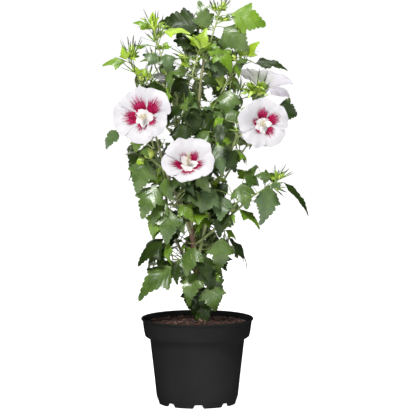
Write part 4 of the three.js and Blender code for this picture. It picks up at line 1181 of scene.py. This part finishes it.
def try_leaf(root, row, facing, habit, wild, form):
    """A leaf that finds room near its place, or none"""
    for _ in range(TRIES):
        leaf = Leaf(root, row, facing, habit, wild)
        points = leaf.place(TEST_POINTS)
        if shows_well(leaf.place(COARSE_POINTS)) and room.free(points, TEST_FACES):
            keep(leaf, tone_of(leaf, wild), form)
            return True
        row = list(row)
        row[0] += between(wild, -28, 28)
        row[1] += between(wild, -22, 22)
        row[3] += between(wild, -22, 22)
        row[4] *= between(wild, 0.84, 1.0)
    return False


def swing(start, sweep, k):
    """The turn of the k-th of several growths, spread over a sweep by the golden angle"""
    return (k * GOLDEN + start) % sweep - sweep / 2


def slim_tube(curve, radius, start=0.0):
    """A slim three-sided stand-in for a limb or twig, to keep leaves clear of it"""
    points = []
    for i in range(5):
        t = start + (1 - start) * i / 4
        way = curve.way(t)
        side = way.orthogonal().normalized() * radius
        other = way.cross(side)
        centre = curve.at(t)
        points += [centre + side, centre - side * 0.5 + other * 0.87, centre - side * 0.5 - other * 0.87]
    return np.array(points), grid_faces(5, 3, closed=True).tolist()


def add_twig(curve, radii):
    """radii are those of its root and of its end"""
    twig_list.append((curve, radii))
    room.add(*slim_tube(curve, radii[0] * 0.8))


def sprig(root, azimuth, climb, reach, blade, facing, draw, wild):
    """A fine twig with leaves at its joints. It ends at the last leaf that finds room."""
    for _ in range(TRIES):
        end = root + heading(azimuth, climb) * reach
        curve = Curve([root, (root + end) / 2 + Vector((0, 0, 0.06 * reach)), end])
        if room.free(*slim_tube(curve, 0.7, 0.3)):
            break
        azimuth += between(wild, -45, 45)
        climb += between(wild, -20, 25)
    else:
        return
    last = 0
    for along, turn, share in FINE_JOINTS:
        length = blade * share * between(draw, 0.75, 1.12)
        side = azimuth + turn + between(draw, -25, 25)
        row = [side, between(draw, 0, 45), length * STALK_SHARE, between(draw, -75, 5), length]
        turned = facing * between(wild, 0.3, 1.0) + Vector((0, 0, between(wild, 0.0, 1.0)))
        if try_leaf(curve.at(along), row, turned.normalized(), leaf_habit(draw), wild, PLAIN_LEAF):
            last = along
    if last:
        add_twig(cut_at(curve, last), FINE_RADIUS)


def grow_showing(name, mass):
    """The leaves listed one by one"""
    stem = stem_curve(mass)
    draw = seeded(mass["seed"])
    wild = seeded(mass["seed"] + WILD_STEP["showing"])
    facing = heading(mass["open"], FACING_CLIMB)
    for k, (along, *row) in enumerate(mass.get("leaves", [])):
        leaf = Leaf(stem.at(along), row, facing, leaf_habit(draw), wild)
        leaf.hook *= 0.8
        leaf.lobes *= 0.6
        leaf.sway *= 0.5
        if k in SHAPES.get(name, {}):
            leaf.width, leaf.hook, leaf.sway = SHAPES[name][k]
        keep(leaf, TONE_LETTERS.index(TONES[name][k]), FULL_LEAF)
        view_leaves.append((leaf.base + leaf.along * (0.5 * leaf.blade), 0.3 * leaf.blade))


def grow_filling(name, mass):
    """The leaves on the stem and on its twigs, by the rule of the part's source"""
    stem = stem_curve(mass)
    draw = seeded(mass["seed"] + SEED_STEP["filling"])
    wild = seeded(mass["seed"] + WILD_STEP["filling"])
    facing = heading(mass["open"], FACING_CLIMB)
    size = mass["leaf"]
    count = mass.get("stem_leaves", 0)
    for k in range(count):
        azimuth = mass["open"] + swing(60, 200, k)
        blade = size * between(draw, *FILL_SIZE)
        climb = between(draw, 10, 50)
        row = [azimuth, climb, blade * STALK_SHARE, between(draw, -60, 0), blade]
        try_leaf(stem.at(0.4 + 0.6 * k / count), row, facing, leaf_habit(draw), wild, FULL_LEAF)
    for k in range(mass["twigs"]):
        root = stem.at(0.45 + 0.5 * k / mass["twigs"])
        azimuth = mass["open"] + swing(GOLDEN, 180, k)
        way = heading(azimuth, between(draw, 5, 50))
        twig = Curve([root, root + way * (size * between(draw, 0.8, 1.1))])
        last = 0
        for along, turn, share in JOINTS:
            blade = size * share * between(draw, *FILL_SIZE)
            side = azimuth + turn + between(draw, -20, 20)
            climb = between(draw, 0, 40)
            row = [side, climb, blade * STALK_SHARE, between(draw, -65, -10), blade]
            if try_leaf(twig.at(along), row, facing, leaf_habit(draw), wild, FULL_LEAF):
                last = along
        if last:
            add_twig(cut_at(twig, last), TWIG_RADIUS)


def grow_accents(name, rows):
    """Single leaves on a limb or a mass, the deep ones at the trunk's foot set there as painted shade"""
    curve = stem_curve(MASSES[name]) if name in MASSES else limb_curve(name)
    draw = seeded(len(name) * 17)
    for along, *row, tone in rows:
        leaf = Leaf(curve.at(along), row, heading(-100, FACING_CLIMB), leaf_habit(draw), draw)
        keep(leaf, TONE_LETTERS.index(tone), PLAIN_LEAF)


def grow_tufts(name, mass):
    """Tufts of young leaves at the tips of shoots"""
    stem = stem_curve(mass)
    facing = heading(mass["open"], FACING_CLIMB)
    for k, (along, *row) in enumerate(TUFTS.get(name, [])):
        make_tuft(stem.at(along), row, mass["seed"] + SEED_STEP["tuft"] + k, facing)


def grow_finer(name, mass):
    """Finer twigs all along a mass's stem"""
    stem = stem_curve(mass)
    draw = seeded(mass["seed"] + SEED_STEP["finer"])
    wild = seeded(mass["seed"] + WILD_STEP["finer"])
    count, blade = FINER[name]
    facing = heading(mass["open"], FACING_CLIMB)
    for k in range(count):
        root = stem.at(0.12 + 0.86 * k / count)
        azimuth = mass["open"] + swing(20, 260, k)
        climb = between(draw, -5, 55)
        reach = blade * between(draw, 0.7, 1.2)
        sprig(root, azimuth, climb, reach, blade, facing, draw, wild)


def grow_spurs(name, row):
    """Short leafy spurs all round a limb"""
    step, low, blade, seed = row
    curve = limb_curve(name)
    draw = seeded(seed)
    wild = seeded(seed + WILD_STEP["spur"])
    count = int(curve.length() / step)
    for k in range(count):
        root = curve.at(low + (1 - low) * (k + 0.5) / count)
        azimuth = (k * GOLDEN + seed * 31) % 360
        facing = heading(azimuth, FACING_CLIMB)
        climb = between(draw, 5, 55)
        reach = between(draw, 24, 46)
        sprig(root, azimuth, climb, reach, blade, facing, draw, wild)


def group_of_limb(name):
    return "back" if "back" in name else "top" if name.startswith("upper") else "lower"


def grow_in(group, rule, name, given):
    """Follows one rule of growth, and marks the leaves it grows as part of a group of foliage"""
    start = len(grown)
    rule(name, given)
    for leaf in grown[start:]:
        leaf.group = group


# Blooms, buds and tufts

petals = Batch()
hearts = Batch()
greens = Batch()


class Petal:
    """The surface of one broad petal on its funnel, ruffled at the rim"""

    def __init__(self, base, axes, angle, radius, depth, wild, reach, droop):
        self.base = base
        self.axes = axes
        self.angle = angle
        self.radius = radius
        self.depth = depth
        self.droop = droop
        self.phase = wild() * 6.28
        self.ruffle = between(wild, 0.035, 0.065) * radius
        self.reach = reach * between(wild, 0.97, 1.03)
        self.tilt = between(wild, -0.05, 0.05)
        self.notch = between(wild, -0.5, 0.5)
        self.bumps = [between(wild, -0.025, 0.025) for _ in range(3)]

    def at(self, r, a, rise=0.0):
        """r runs from the throat to the rim, a from -1 to 1 across the petal"""
        up, other, way = self.axes
        radius = self.radius
        middle = 1 - a * a
        rim = 1 - 0.17 * abs(a) ** 2.6 - 0.04 * math.exp(-((a - self.notch) * 7) ** 2)
        for size, bump in zip(self.bumps, (math.sin(3 * a + 1), math.cos(6 * a), math.sin(11 * a))):
            rim += size * bump
        out = 0.06 + 0.94 * r * (rim if r > 0.4 else 1 - (1 - rim) * r / 0.4)
        height = self.depth * (1 - (1 - min(1, out)) ** 1.9)
        wave = math.sin(3.7 * a + self.phase) + 0.5 * math.sin(9.5 * a + 2 * self.phase)
        height += self.ruffle * r ** 3 * wave * (1 - 0.85 * a ** 4)
        height += radius * (0.013 * a * r + (self.tilt * middle - self.droop) * r * r)
        height -= 0.2 * radius * max(0, r - 0.75) * middle
        folds = math.cos(24 * a + self.phase) * math.sin(math.pi * min(1, r * 1.05))
        height += 0.012 * radius * folds + rise
        around = self.angle + math.radians(34 + 7 * min(1, r * 2.1) ** 0.8) * a
        span = radius * self.reach * out
        return self.base + way * height + up * (span * math.cos(around)) + other * (span * math.sin(around))

    def streak(self, a, start, end, half, kind, rise):
        """A slim tapering vein up the petal"""
        marks = []
        for k in range(6):
            r = start + (end - start) * k / 5
            thin = half * (1 - (k / 5) ** 1.3) + 0.002
            marks += [self.at(r, a - thin, rise), self.at(r, a + thin, rise)]
        petals.add(marks, strip_faces(5), kind)


def make_petal(petal, patch, wild):
    """Both its sides, with the crimson of its throat running out in veins. patch sizes the crimson."""
    rows = 26
    columns = 25
    points = []
    for i in range(rows):
        points += [petal.at(i / (rows - 1), 2 * j / (columns - 1) - 1) for j in range(columns)]
    faces = grid_faces(rows, columns)
    i, j = np.divmod(np.arange(len(faces)), columns - 1)
    away = np.abs(2 * (j + 0.5) / (columns - 1) - 1)
    edge = np.where(away < 0.94, patch * (0.44 - 0.19 * (away / 0.94) ** 3), 0.21)
    petals.add(points, faces, np.where((i + 0.5) / (rows - 1) < edge, CRIMSON, WHITE))
    # The back side takes the far paler surface, painted light shining through the petal
    petals.add([p - petal.axes[2] * 0.5 for p in points], faces[:, ::-1], PETAL_BACK_PAINTED_LIGHT)
    for k in range(13):
        a = -0.72 + 1.44 * (k + 0.5) / 13 + between(wild, -0.02, 0.02)
        middle = 1 - (abs(a) / 0.8) ** 2
        end = patch * (0.36 + 0.24 * middle * between(wild, 0.75, 1.1))
        petal.streak(a, 0.3 * patch, end, 0.06, CRIMSON, 0.4)
    for k in range(19):
        a = -0.78 + 1.56 * (k + 0.5) / 19 + between(wild, -0.03, 0.03)
        middle = 1 - (abs(a) / 0.9) ** 2
        end = patch * (0.42 + 0.28 * middle * between(wild, 0.5, 1.15))
        petal.streak(a, 0.34 * patch, end, 0.024, ROSE if k % 3 == 1 else CRIMSON, 0.5)


def petaloid(batch, kind, base, out, way, length, width, wild):
    """A small crumpled inner petal"""
    side = way.cross(out).normalized()
    bend = between(wild, 0.1, 0.5)
    phase = wild() * 6.28
    points = []
    for i in range(6):
        r = i / 5
        half = width * math.sin(math.pi * (0.16 + 0.78 * r)) / 2
        for j in range(5):
            a = (j - 2) / 2
            crumple = 0.16 * width * math.sin(3.5 * a + phase + 4 * r) * r
            rise = (out * (1 - bend * r * 0.5) + way * (0.55 - bend * r)) * (length * r)
            points.append(base + rise + side * (half * a) + way * crumple)
    batch.add(points, grid_faces(6, 5), kind)


def round_about(up, other, angle):
    """A direction square to a heading, at an angle round it"""
    return up * math.cos(angle) + other * math.sin(angle)


def ball(batch, centre, radius, kind, way=Vector((0, 0, 1)), stretch=1.0):
    """A small round body"""
    side, other = frame_of(way)
    points = []
    for i in range(5):
        climb = math.pi * (i / 4 - 0.5) * 0.92
        rise = radius * stretch * math.sin(climb)
        for k in range(6):
            out = round_about(side, other, math.pi * k / 3)
            points.append(centre + out * (radius * math.cos(climb)) + way * rise)
    batch.add(points, grid_faces(5, 6, closed=True), kind)


def make_column(throat, way, up, other, reach, wild):
    """The cream column in a bloom's throat, with its anthers and the five stigmas at its end"""
    lean = (up * between(wild, -0.2, 0.2) + other * between(wild, -0.2, 0.2)) * reach
    column = Curve([throat, throat + way * (reach * 0.5) + lean * 0.2, throat + way * reach + lean])
    tube(hearts, column, 8, 8, lambda t: 2.4 - 1.1 * t, CREAM)
    for k in range(44):
        out = (round_about(up, other, 2.4 * k) + way * 0.35).normalized()
        start = column.at(0.3 + 0.68 * k / 44)
        end = start + out * between(wild, 3.4, 5.0)
        tube(hearts, Curve([start, end]), 2, 3, lambda t: 0.22, CREAM)
        ball(hearts, end, 0.75, ANTHER)
    for k in range(5):
        out = round_about(up, other, 1.2566 * k)
        tip = column.at(1) + way * 3.6 + out * 2.2
        stigma = Curve([column.at(0.98), column.at(1) + way * 1.8 + out * 0.6, tip])
        tube(hearts, stigma, 3, 4, lambda t: 0.4, CREAM)
        ball(hearts, tip, 0.95, CREAM)


def take_bloom_room(base, axes, radius, depth):
    """A bloom's funnel, and the same again behind it, so that no leaf cuts through it"""
    up, other, way = axes
    funnel = []
    for share, height in ((0.1, 0.0), (0.6, 0.78), (1.0, 1.0)):
        for k in range(10):
            out = round_about(up, other, math.pi * k / 5)
            funnel.append(base + out * (radius * share) + way * depth * height)
    faces = grid_faces(3, 10, closed=True).tolist()
    room.add(np.array(funnel), faces)
    room.add(np.array([p - way * 5 for p in funnel]), faces)


def make_bloom(root, row, seed, look, marks):
    """Five overlapping petals round a throat, with petaloids and the column, calyx and bractlets"""
    azimuth, climb, stalk, face_azimuth, face_climb, width, cup = row
    wild = seeded(seed)
    way = heading(face_azimuth, face_climb)
    up, other = frame_of(way)
    stalk_way = heading(azimuth, climb)
    base = root + stalk_way * stalk
    radius = width / 2
    depth = width * (0.2 + cup * 0.25)
    spin, *reaches = look
    for k, (reach, (patch, droop)) in enumerate(zip(reaches, marks)):
        angle = math.radians(spin) + 2 * math.pi * k / 5
        make_petal(Petal(base, (up, other, way), angle, radius, depth, wild, reach, droop), patch, wild)
    throat = base + way * (depth * 0.12)
    for k in range(8):
        out = round_about(up, other, 2.4 * k + 5.2)
        low = max(0.0, 0.4 - out.z)
        size = radius * between(wild, 0.29, 0.41) * (0.85 + 0.45 * low)
        start = throat + out * 1.6 + way * (3 + 0.9 * k)
        petaloid(hearts, PETALOID, start, out, way, size, size * (0.9 - 0.28 * low), wild)
    make_column(throat, way, up, other, depth * 0.55 + radius * 0.36, wild)
    make_calyx(base, way, 6.2, 13, wild)
    stalk_curve = Curve([root, root + stalk_way * (stalk * 0.5), base - way * 8])
    tube(greens, stalk_curve, 6, 7, lambda t: 1.15 + 0.5 * t, STALK)
    view_blooms.append((base + way * depth * 0.8, radius))
    take_bloom_room(base, (up, other, way), radius, depth)


def bractlet(root, way, bend, length, width, rows=7):
    """A slim green leaflet with a dark blunt tip, folded a little along its middle"""
    side = way.cross(bend)
    side = side.normalized() if side.length > 1e-4 else way.orthogonal().normalized()
    out = side.cross(way)
    points = []
    for i in range(rows):
        r = i / (rows - 1)
        half = 0.5 * width * max(0.25, (1 - r ** 6) ** 0.5)
        centre = root + way * (length * r) + bend * (length * 0.35 * r * r)
        lift = out * (half * 0.25)
        points += [centre - side * half + lift, centre, centre + side * half + lift]
    faces = grid_faces(rows, 3)
    kinds = np.full(len(faces), BRACT)
    kinds[-4:] = BRACT_TIP
    greens.add(points, faces, kinds)


def make_calyx(base, way, radius, length, wild):
    """The green cup behind a bloom: a ribbed cup with five points and a ring of bractlets"""
    up, other = frame_of(way)
    points = []
    for share, height in ((0.25, -1.0), (0.7, -0.75), (0.98, -0.35), (1.0, 0.05), (1.25, 0.4)):
        for k in range(20):
            angle = math.pi * k / 10
            ridge = 1 + 0.05 * math.cos(5 * angle)
            peak = 0.28 * (0.5 + 0.5 * math.cos(5 * angle)) if height > 0.3 else 0
            span = radius * share * ridge * (1 + peak * 0.5)
            rise = length * (height + peak) * 0.6
            points.append(base + round_about(up, other, angle) * span + way * rise)
    greens.add(points, grid_faces(5, 20, closed=True), BRACT)
    for k in range(7):
        out = round_about(up, other, 2 * math.pi * k / 7 + 0.4)
        start = base + out * (radius * 0.8) - way * (length * 0.5)
        lean = (out * 0.8 + way * 0.6).normalized()
        bractlet(start, lean, way * 0.6, between(wild, 13, 18), 2.3)


def make_bud(root, row, seed):
    """An egg-shaped bud with slim dark-tipped bractlets, which stand shorter and wider round a fat one"""
    azimuth, climb, stalk, length, thickness = row
    wild = seeded(seed)
    way = heading(azimuth, climb)
    up, other = frame_of(way)
    base = root + way * stalk
    fat = thickness > 0.8 * length
    points = []
    for i in range(10):
        r = i / 9
        span = 0.5 * thickness * math.sin(math.pi * (0.07 + 0.9 * r ** 0.85)) ** (0.75 if fat else 1)
        for k in range(20):
            angle = math.pi * k / 10
            ridge = 1 + 0.07 * math.cos(5 * angle) * r
            points.append(base + round_about(up, other, angle) * (span * ridge) + way * (length * r))
    faces = grid_faces(10, 20, closed=True)
    greens.add(points, faces, BUD_PALE)
    room.add(np.array(points), faces.tolist())
    stalk_curve = Curve([root, root + way * (stalk * 0.5), base + way * 0.5])
    tube(greens, stalk_curve, 5, 7, lambda t: 0.95 + 0.5 * t, STALK)
    for k in range(8):
        out = round_about(up, other, 2 * math.pi * (k + between(wild, -0.2, 0.2)) / 8)
        start = base + out * (thickness * 0.16) + way * (0.02 * length)
        rise = between(wild, 0.5, 0.9) if fat else between(wild, 1.0, 2.6)
        size = (0.5 if fat else between(wild, 1.2, 1.75)) * length
        bractlet(start, (out + way * rise).normalized(), way * between(wild, -0.3, 0.9), size, 2.2)


def make_fan(root, row, seed):
    """A small bud in a fan of long slim bractlets with dark tips"""
    azimuth, climb, stalk, count, length = row
    wild = seeded(seed)
    way = heading(azimuth, climb)
    up, other = frame_of(way)
    base = root + way * stalk
    stalk_curve = Curve([root, root + way * (stalk * 0.5) + Vector((0, 0, 0.4)), base])
    tube(greens, stalk_curve, 4, 6, lambda t: 0.9, STALK)
    ball(greens, base + way * (0.14 * length), 0.11 * length, BUD_PALE, way, 1.5)
    for k in range(count):
        out = round_about(up, other, 2 * math.pi * (k + between(wild, -0.25, 0.25)) / count)
        start = base + out * (0.05 * length)
        lean = (out + way * between(wild, 0.6, 1.7)).normalized()
        size = length * between(wild, 0.65, 1.1)
        bractlet(start, lean, way * between(wild, 0.4, 1.5), size, between(wild, 1.7, 2.3), rows=9)


def make_rolled(root, row, seed):
    """A bloom still rolled: twisted white petals above a calyx"""
    azimuth, climb, stalk, length, thickness = row
    wild = seeded(seed)
    way = heading(azimuth, climb)
    up, other = frame_of(way)
    base = root + way * stalk
    tube(greens, Curve([root, base]), 4, 6, lambda t: 1.1, STALK)
    make_calyx(base + way * 4, way, 4.6, 9, wild)
    for k in range(5):
        out = round_about(up, other, 2 * math.pi * k / 5)
        lean = (out * 0.45 + way * 0.8).normalized()
        start = base + way * 3 + out
        petaloid(petals, WHITE, start, lean, way, length * 1.05, thickness * 1.1, wild)


def make_tuft(root, row, seed, facing):
    """A tuft of young leaves at a shoot's tip. They take no room."""
    azimuth, climb, stalk, count, length = row
    wild = seeded(seed)
    base = root + heading(azimuth, climb) * stalk
    tube(greens, Curve([root, base]), 3, 6, lambda t: 0.9 - 0.2 * t, STALK)
    for k in range(count):
        turn = azimuth + k * GOLDEN
        blade = length * between(wild, 0.65, 1.15)
        row = [turn, between(wild, 25, 60), blade * 0.2, between(wild, 15, 68), blade]
        leaf = Leaf(base, row, (heading(turn, 80) + facing * 0.8).normalized(), leaf_habit(wild), wild)
        leaf.width = between(wild, 0.62, 0.85)
        leaf.tone = YOUNG if wild() < 0.6 else FRESH
        leaf.form = PLAIN_LEAF
        grown.append(leaf)


# Limbs, twigs and foliage

def make_limb(name, limb):
    """A limb in its bark, with low swellings at its joints and a flare at its root"""
    curve = limb_curve(name)
    thick, thin = limb["thick"]
    flare = limb.get("flare", 0)
    length = curve.length()
    seed = len(name) * 7.3
    strength = 1.0 if name in ("trunk", "leader") else 0.55

    def radius_at(t):
        swell = 0.06 * max(0.0, math.cos(2 * math.pi * t * length / 27)) ** 8
        return (thick + (thin - thick) * t + flare * max(0.0, 1 - 5 * t) ** 2) * (1 + swell)

    def rough(t, angle):
        spot = Vector((2.2 * math.cos(angle), 2.2 * math.sin(angle), t * length / 16 + seed))
        fine = Vector((5 * math.cos(angle), 5 * math.sin(angle), t * length / 7 + seed))
        return strength * (0.09 * noise.noise(spot) + 0.05 * noise.noise(fine))

    batch = Batch()
    rings = max(10, int(length / 2.4))
    tube(batch, curve, rings, 26, radius_at, 0, level="from" not in limb, rough=rough)
    surface = BARK_OF_LIMB.get(name, GREENWOOD)
    piece = batch.build(name + "_bark", [surface])
    settle(piece, [name])
    room.add(*slim_tube(curve, thick + 0.5))


def make_flowering(name, mass):
    """A mass's stem, with the blooms, the fans and the buds that it carries"""
    stem = stem_curve(mass)
    add_twig(stem, STEM_RADIUS)
    for k, (along, *row) in enumerate(mass.get("blooms", [])):
        make_bloom(stem.at(along), row, mass["seed"] + SEED_STEP["bloom"] + k,
                   LOOKS.get(name, PLAIN_LOOK), PETALS.get(name, PLAIN_PETALS))
    for k, (along, *row) in enumerate(FANS.get(name, [])):
        make_fan(stem.at(along), row, mass["seed"] + SEED_STEP["fan"] + k)
    for k, (along, *row) in enumerate(mass.get("buds", [])):
        make = make_rolled if row[3] == ROLLED_LENGTH else make_bud
        make(stem.at(along), row, mass["seed"] + SEED_STEP["bud"] + k)


def make_foliage(group, names):
    batch = Batch()
    for leaf in grown:
        if leaf.group == group:
            flat, faces, kinds = leaf.form
            kinds = np.choose(kinds, [leaf.tone, VEIN_OF_TONE[leaf.tone], UNDER_OF_TONE[leaf.tone]])
            batch.add(leaf.place(flat), faces, kinds)
    settle(batch.build("foliage_" + group, LEAF_SURFACES), names)


def make_twigs():
    """The stalks of all leaves, the stems of the masses and the twigs"""
    batch = Batch()
    for leaf in grown:
        reach = leaf.base - leaf.root
        middle = leaf.root + reach * 0.5 + Vector((0, 0, 0.05 * reach.length))
        radius = 0.62 if leaf.blade > 30 else 0.42
        stalk_curve = Curve([leaf.root, middle, leaf.base + leaf.along])
        tube(batch, stalk_curve, 4, 5, lambda t: radius * (1.25 - 0.25 * t), LEAF_STALK)
    for curve, (start, end) in twig_list:
        tube(batch, curve, 8, 7, lambda t: start + (end - start) * t, TWIG_BARK)
    settle(batch.build("twigs", TWIG_SURFACES), [])


# Put the plant together. Room is taken in this order, so it isn't changed.

make_pot()
make_soil()
for name, limb in LIMBS.items():
    make_limb(name, limb)
for name, mass in MASSES.items():
    make_flowering(name, mass)
for rule in (grow_showing, grow_filling):
    for name, mass in MASSES.items():
        grow_in(GROUP_OF[name], rule, name, mass)
for name, rows in ACCENTS.items():
    grow_in(GROUP_OF.get(name, "right"), grow_accents, name, rows)
for rule in (grow_tufts, grow_finer):
    for name, mass in MASSES.items():
        grow_in(GROUP_OF[name], rule, name, mass)
for name, row in SPURS.items():
    grow_in(group_of_limb(name), grow_spurs, name, row)
for group, names in GROUPS.items():
    make_foliage(group, names)
make_twigs()
settle(petals.build("petals", PETAL_SURFACES), [])
settle(hearts.build("flower_hearts", HEART_SURFACES), [])
settle(greens.build("buds_and_bracts", GREEN_SURFACES), [])


# Stage: a wide white floor that glows, so that it meets the photo's white ground

bpy.ops.object.select_all(action="DESELECT")
bpy.ops.mesh.primitive_plane_add(size=120, location=(0, 20, 0))
floor = bpy.context.object
floor.name = "floor"
floor_surface = material(
    "floor_pale", (0.4, 0.4, 0.4), (0.42, 0.42, 0.42), rough=0.9, gloss=0.0, patch=2, bump=0)
floor_shader = floor_surface.node_tree.nodes["Principled BSDF"]
floor_shader.inputs["Emission Color"].default_value = (1, 1, 1, 1)
floor_shader.inputs["Emission Strength"].default_value = 1.0
floor.data.materials.append(floor_surface)


# Camera and light, in metres and watts

CAMERA_PLACE = Vector((0.0176, -6, 1.005))
CAMERA_AIM = Vector((0.0176, 0, 0.338))
LIGHT_AIM = Vector((0, 0, 0.35))
POT_LIGHT_AIM = Vector((0.005, 0, 0.045))

# Round soft lights: [place, width, power]
SOFT_LIGHTS = {
    "key": [(-0.6, -1.7, 2.2), 0.6, 85],
    "fill": [(1.4, -2.2, 1.2), 1.0, 9],
    "top": [(0.2, 0.3, 2.2), 0.7, 32],
    "back": [(-0.5, 2.2, 1.6), 1.4, 16],
}


def set_up(name, data, place, aim):
    """A camera or light at its place, turned to what it aims at"""
    made = bpy.data.objects.new(name, data)
    bpy.context.scene.collection.objects.link(made)
    made.location = place
    made.rotation_euler = (aim - Vector(place)).to_track_quat("-Z", "Y").to_euler()
    return made


camera_data = bpy.data.cameras.new("camera")
camera_data.lens = 306
camera_data.sensor_width = 36
bpy.context.scene.camera = set_up("camera", camera_data, CAMERA_PLACE, CAMERA_AIM)

for name, (place, width, power) in SOFT_LIGHTS.items():
    light_data = bpy.data.lights.new(name, "AREA")
    light_data.shape = "DISK"
    light_data.size = width
    light_data.energy = power
    set_up(name, light_data, place, LIGHT_AIM)

# A narrow light from the front brings out the round of the dark pot
spot_data = bpy.data.lights.new("pot_light", "SPOT")
spot_data.energy = 620
spot_data.spot_size = math.radians(4.2)
spot_data.spot_blend = 0.7
spot_data.shadow_soft_size = 0.1
set_up("pot_light", spot_data, (0.1, -2.5, 0.3), POT_LIGHT_AIM)

world = bpy.data.worlds.new("studio")
world.use_nodes = True
world.node_tree.nodes["Background"].inputs["Color"].default_value = (1, 1, 1, 1)
world.node_tree.nodes["Background"].inputs["Strength"].default_value = 0.05
bpy.context.scene.world = world
bpy.context.scene.view_settings.view_transform = "Standard"

bpy.context.view_layer.update()
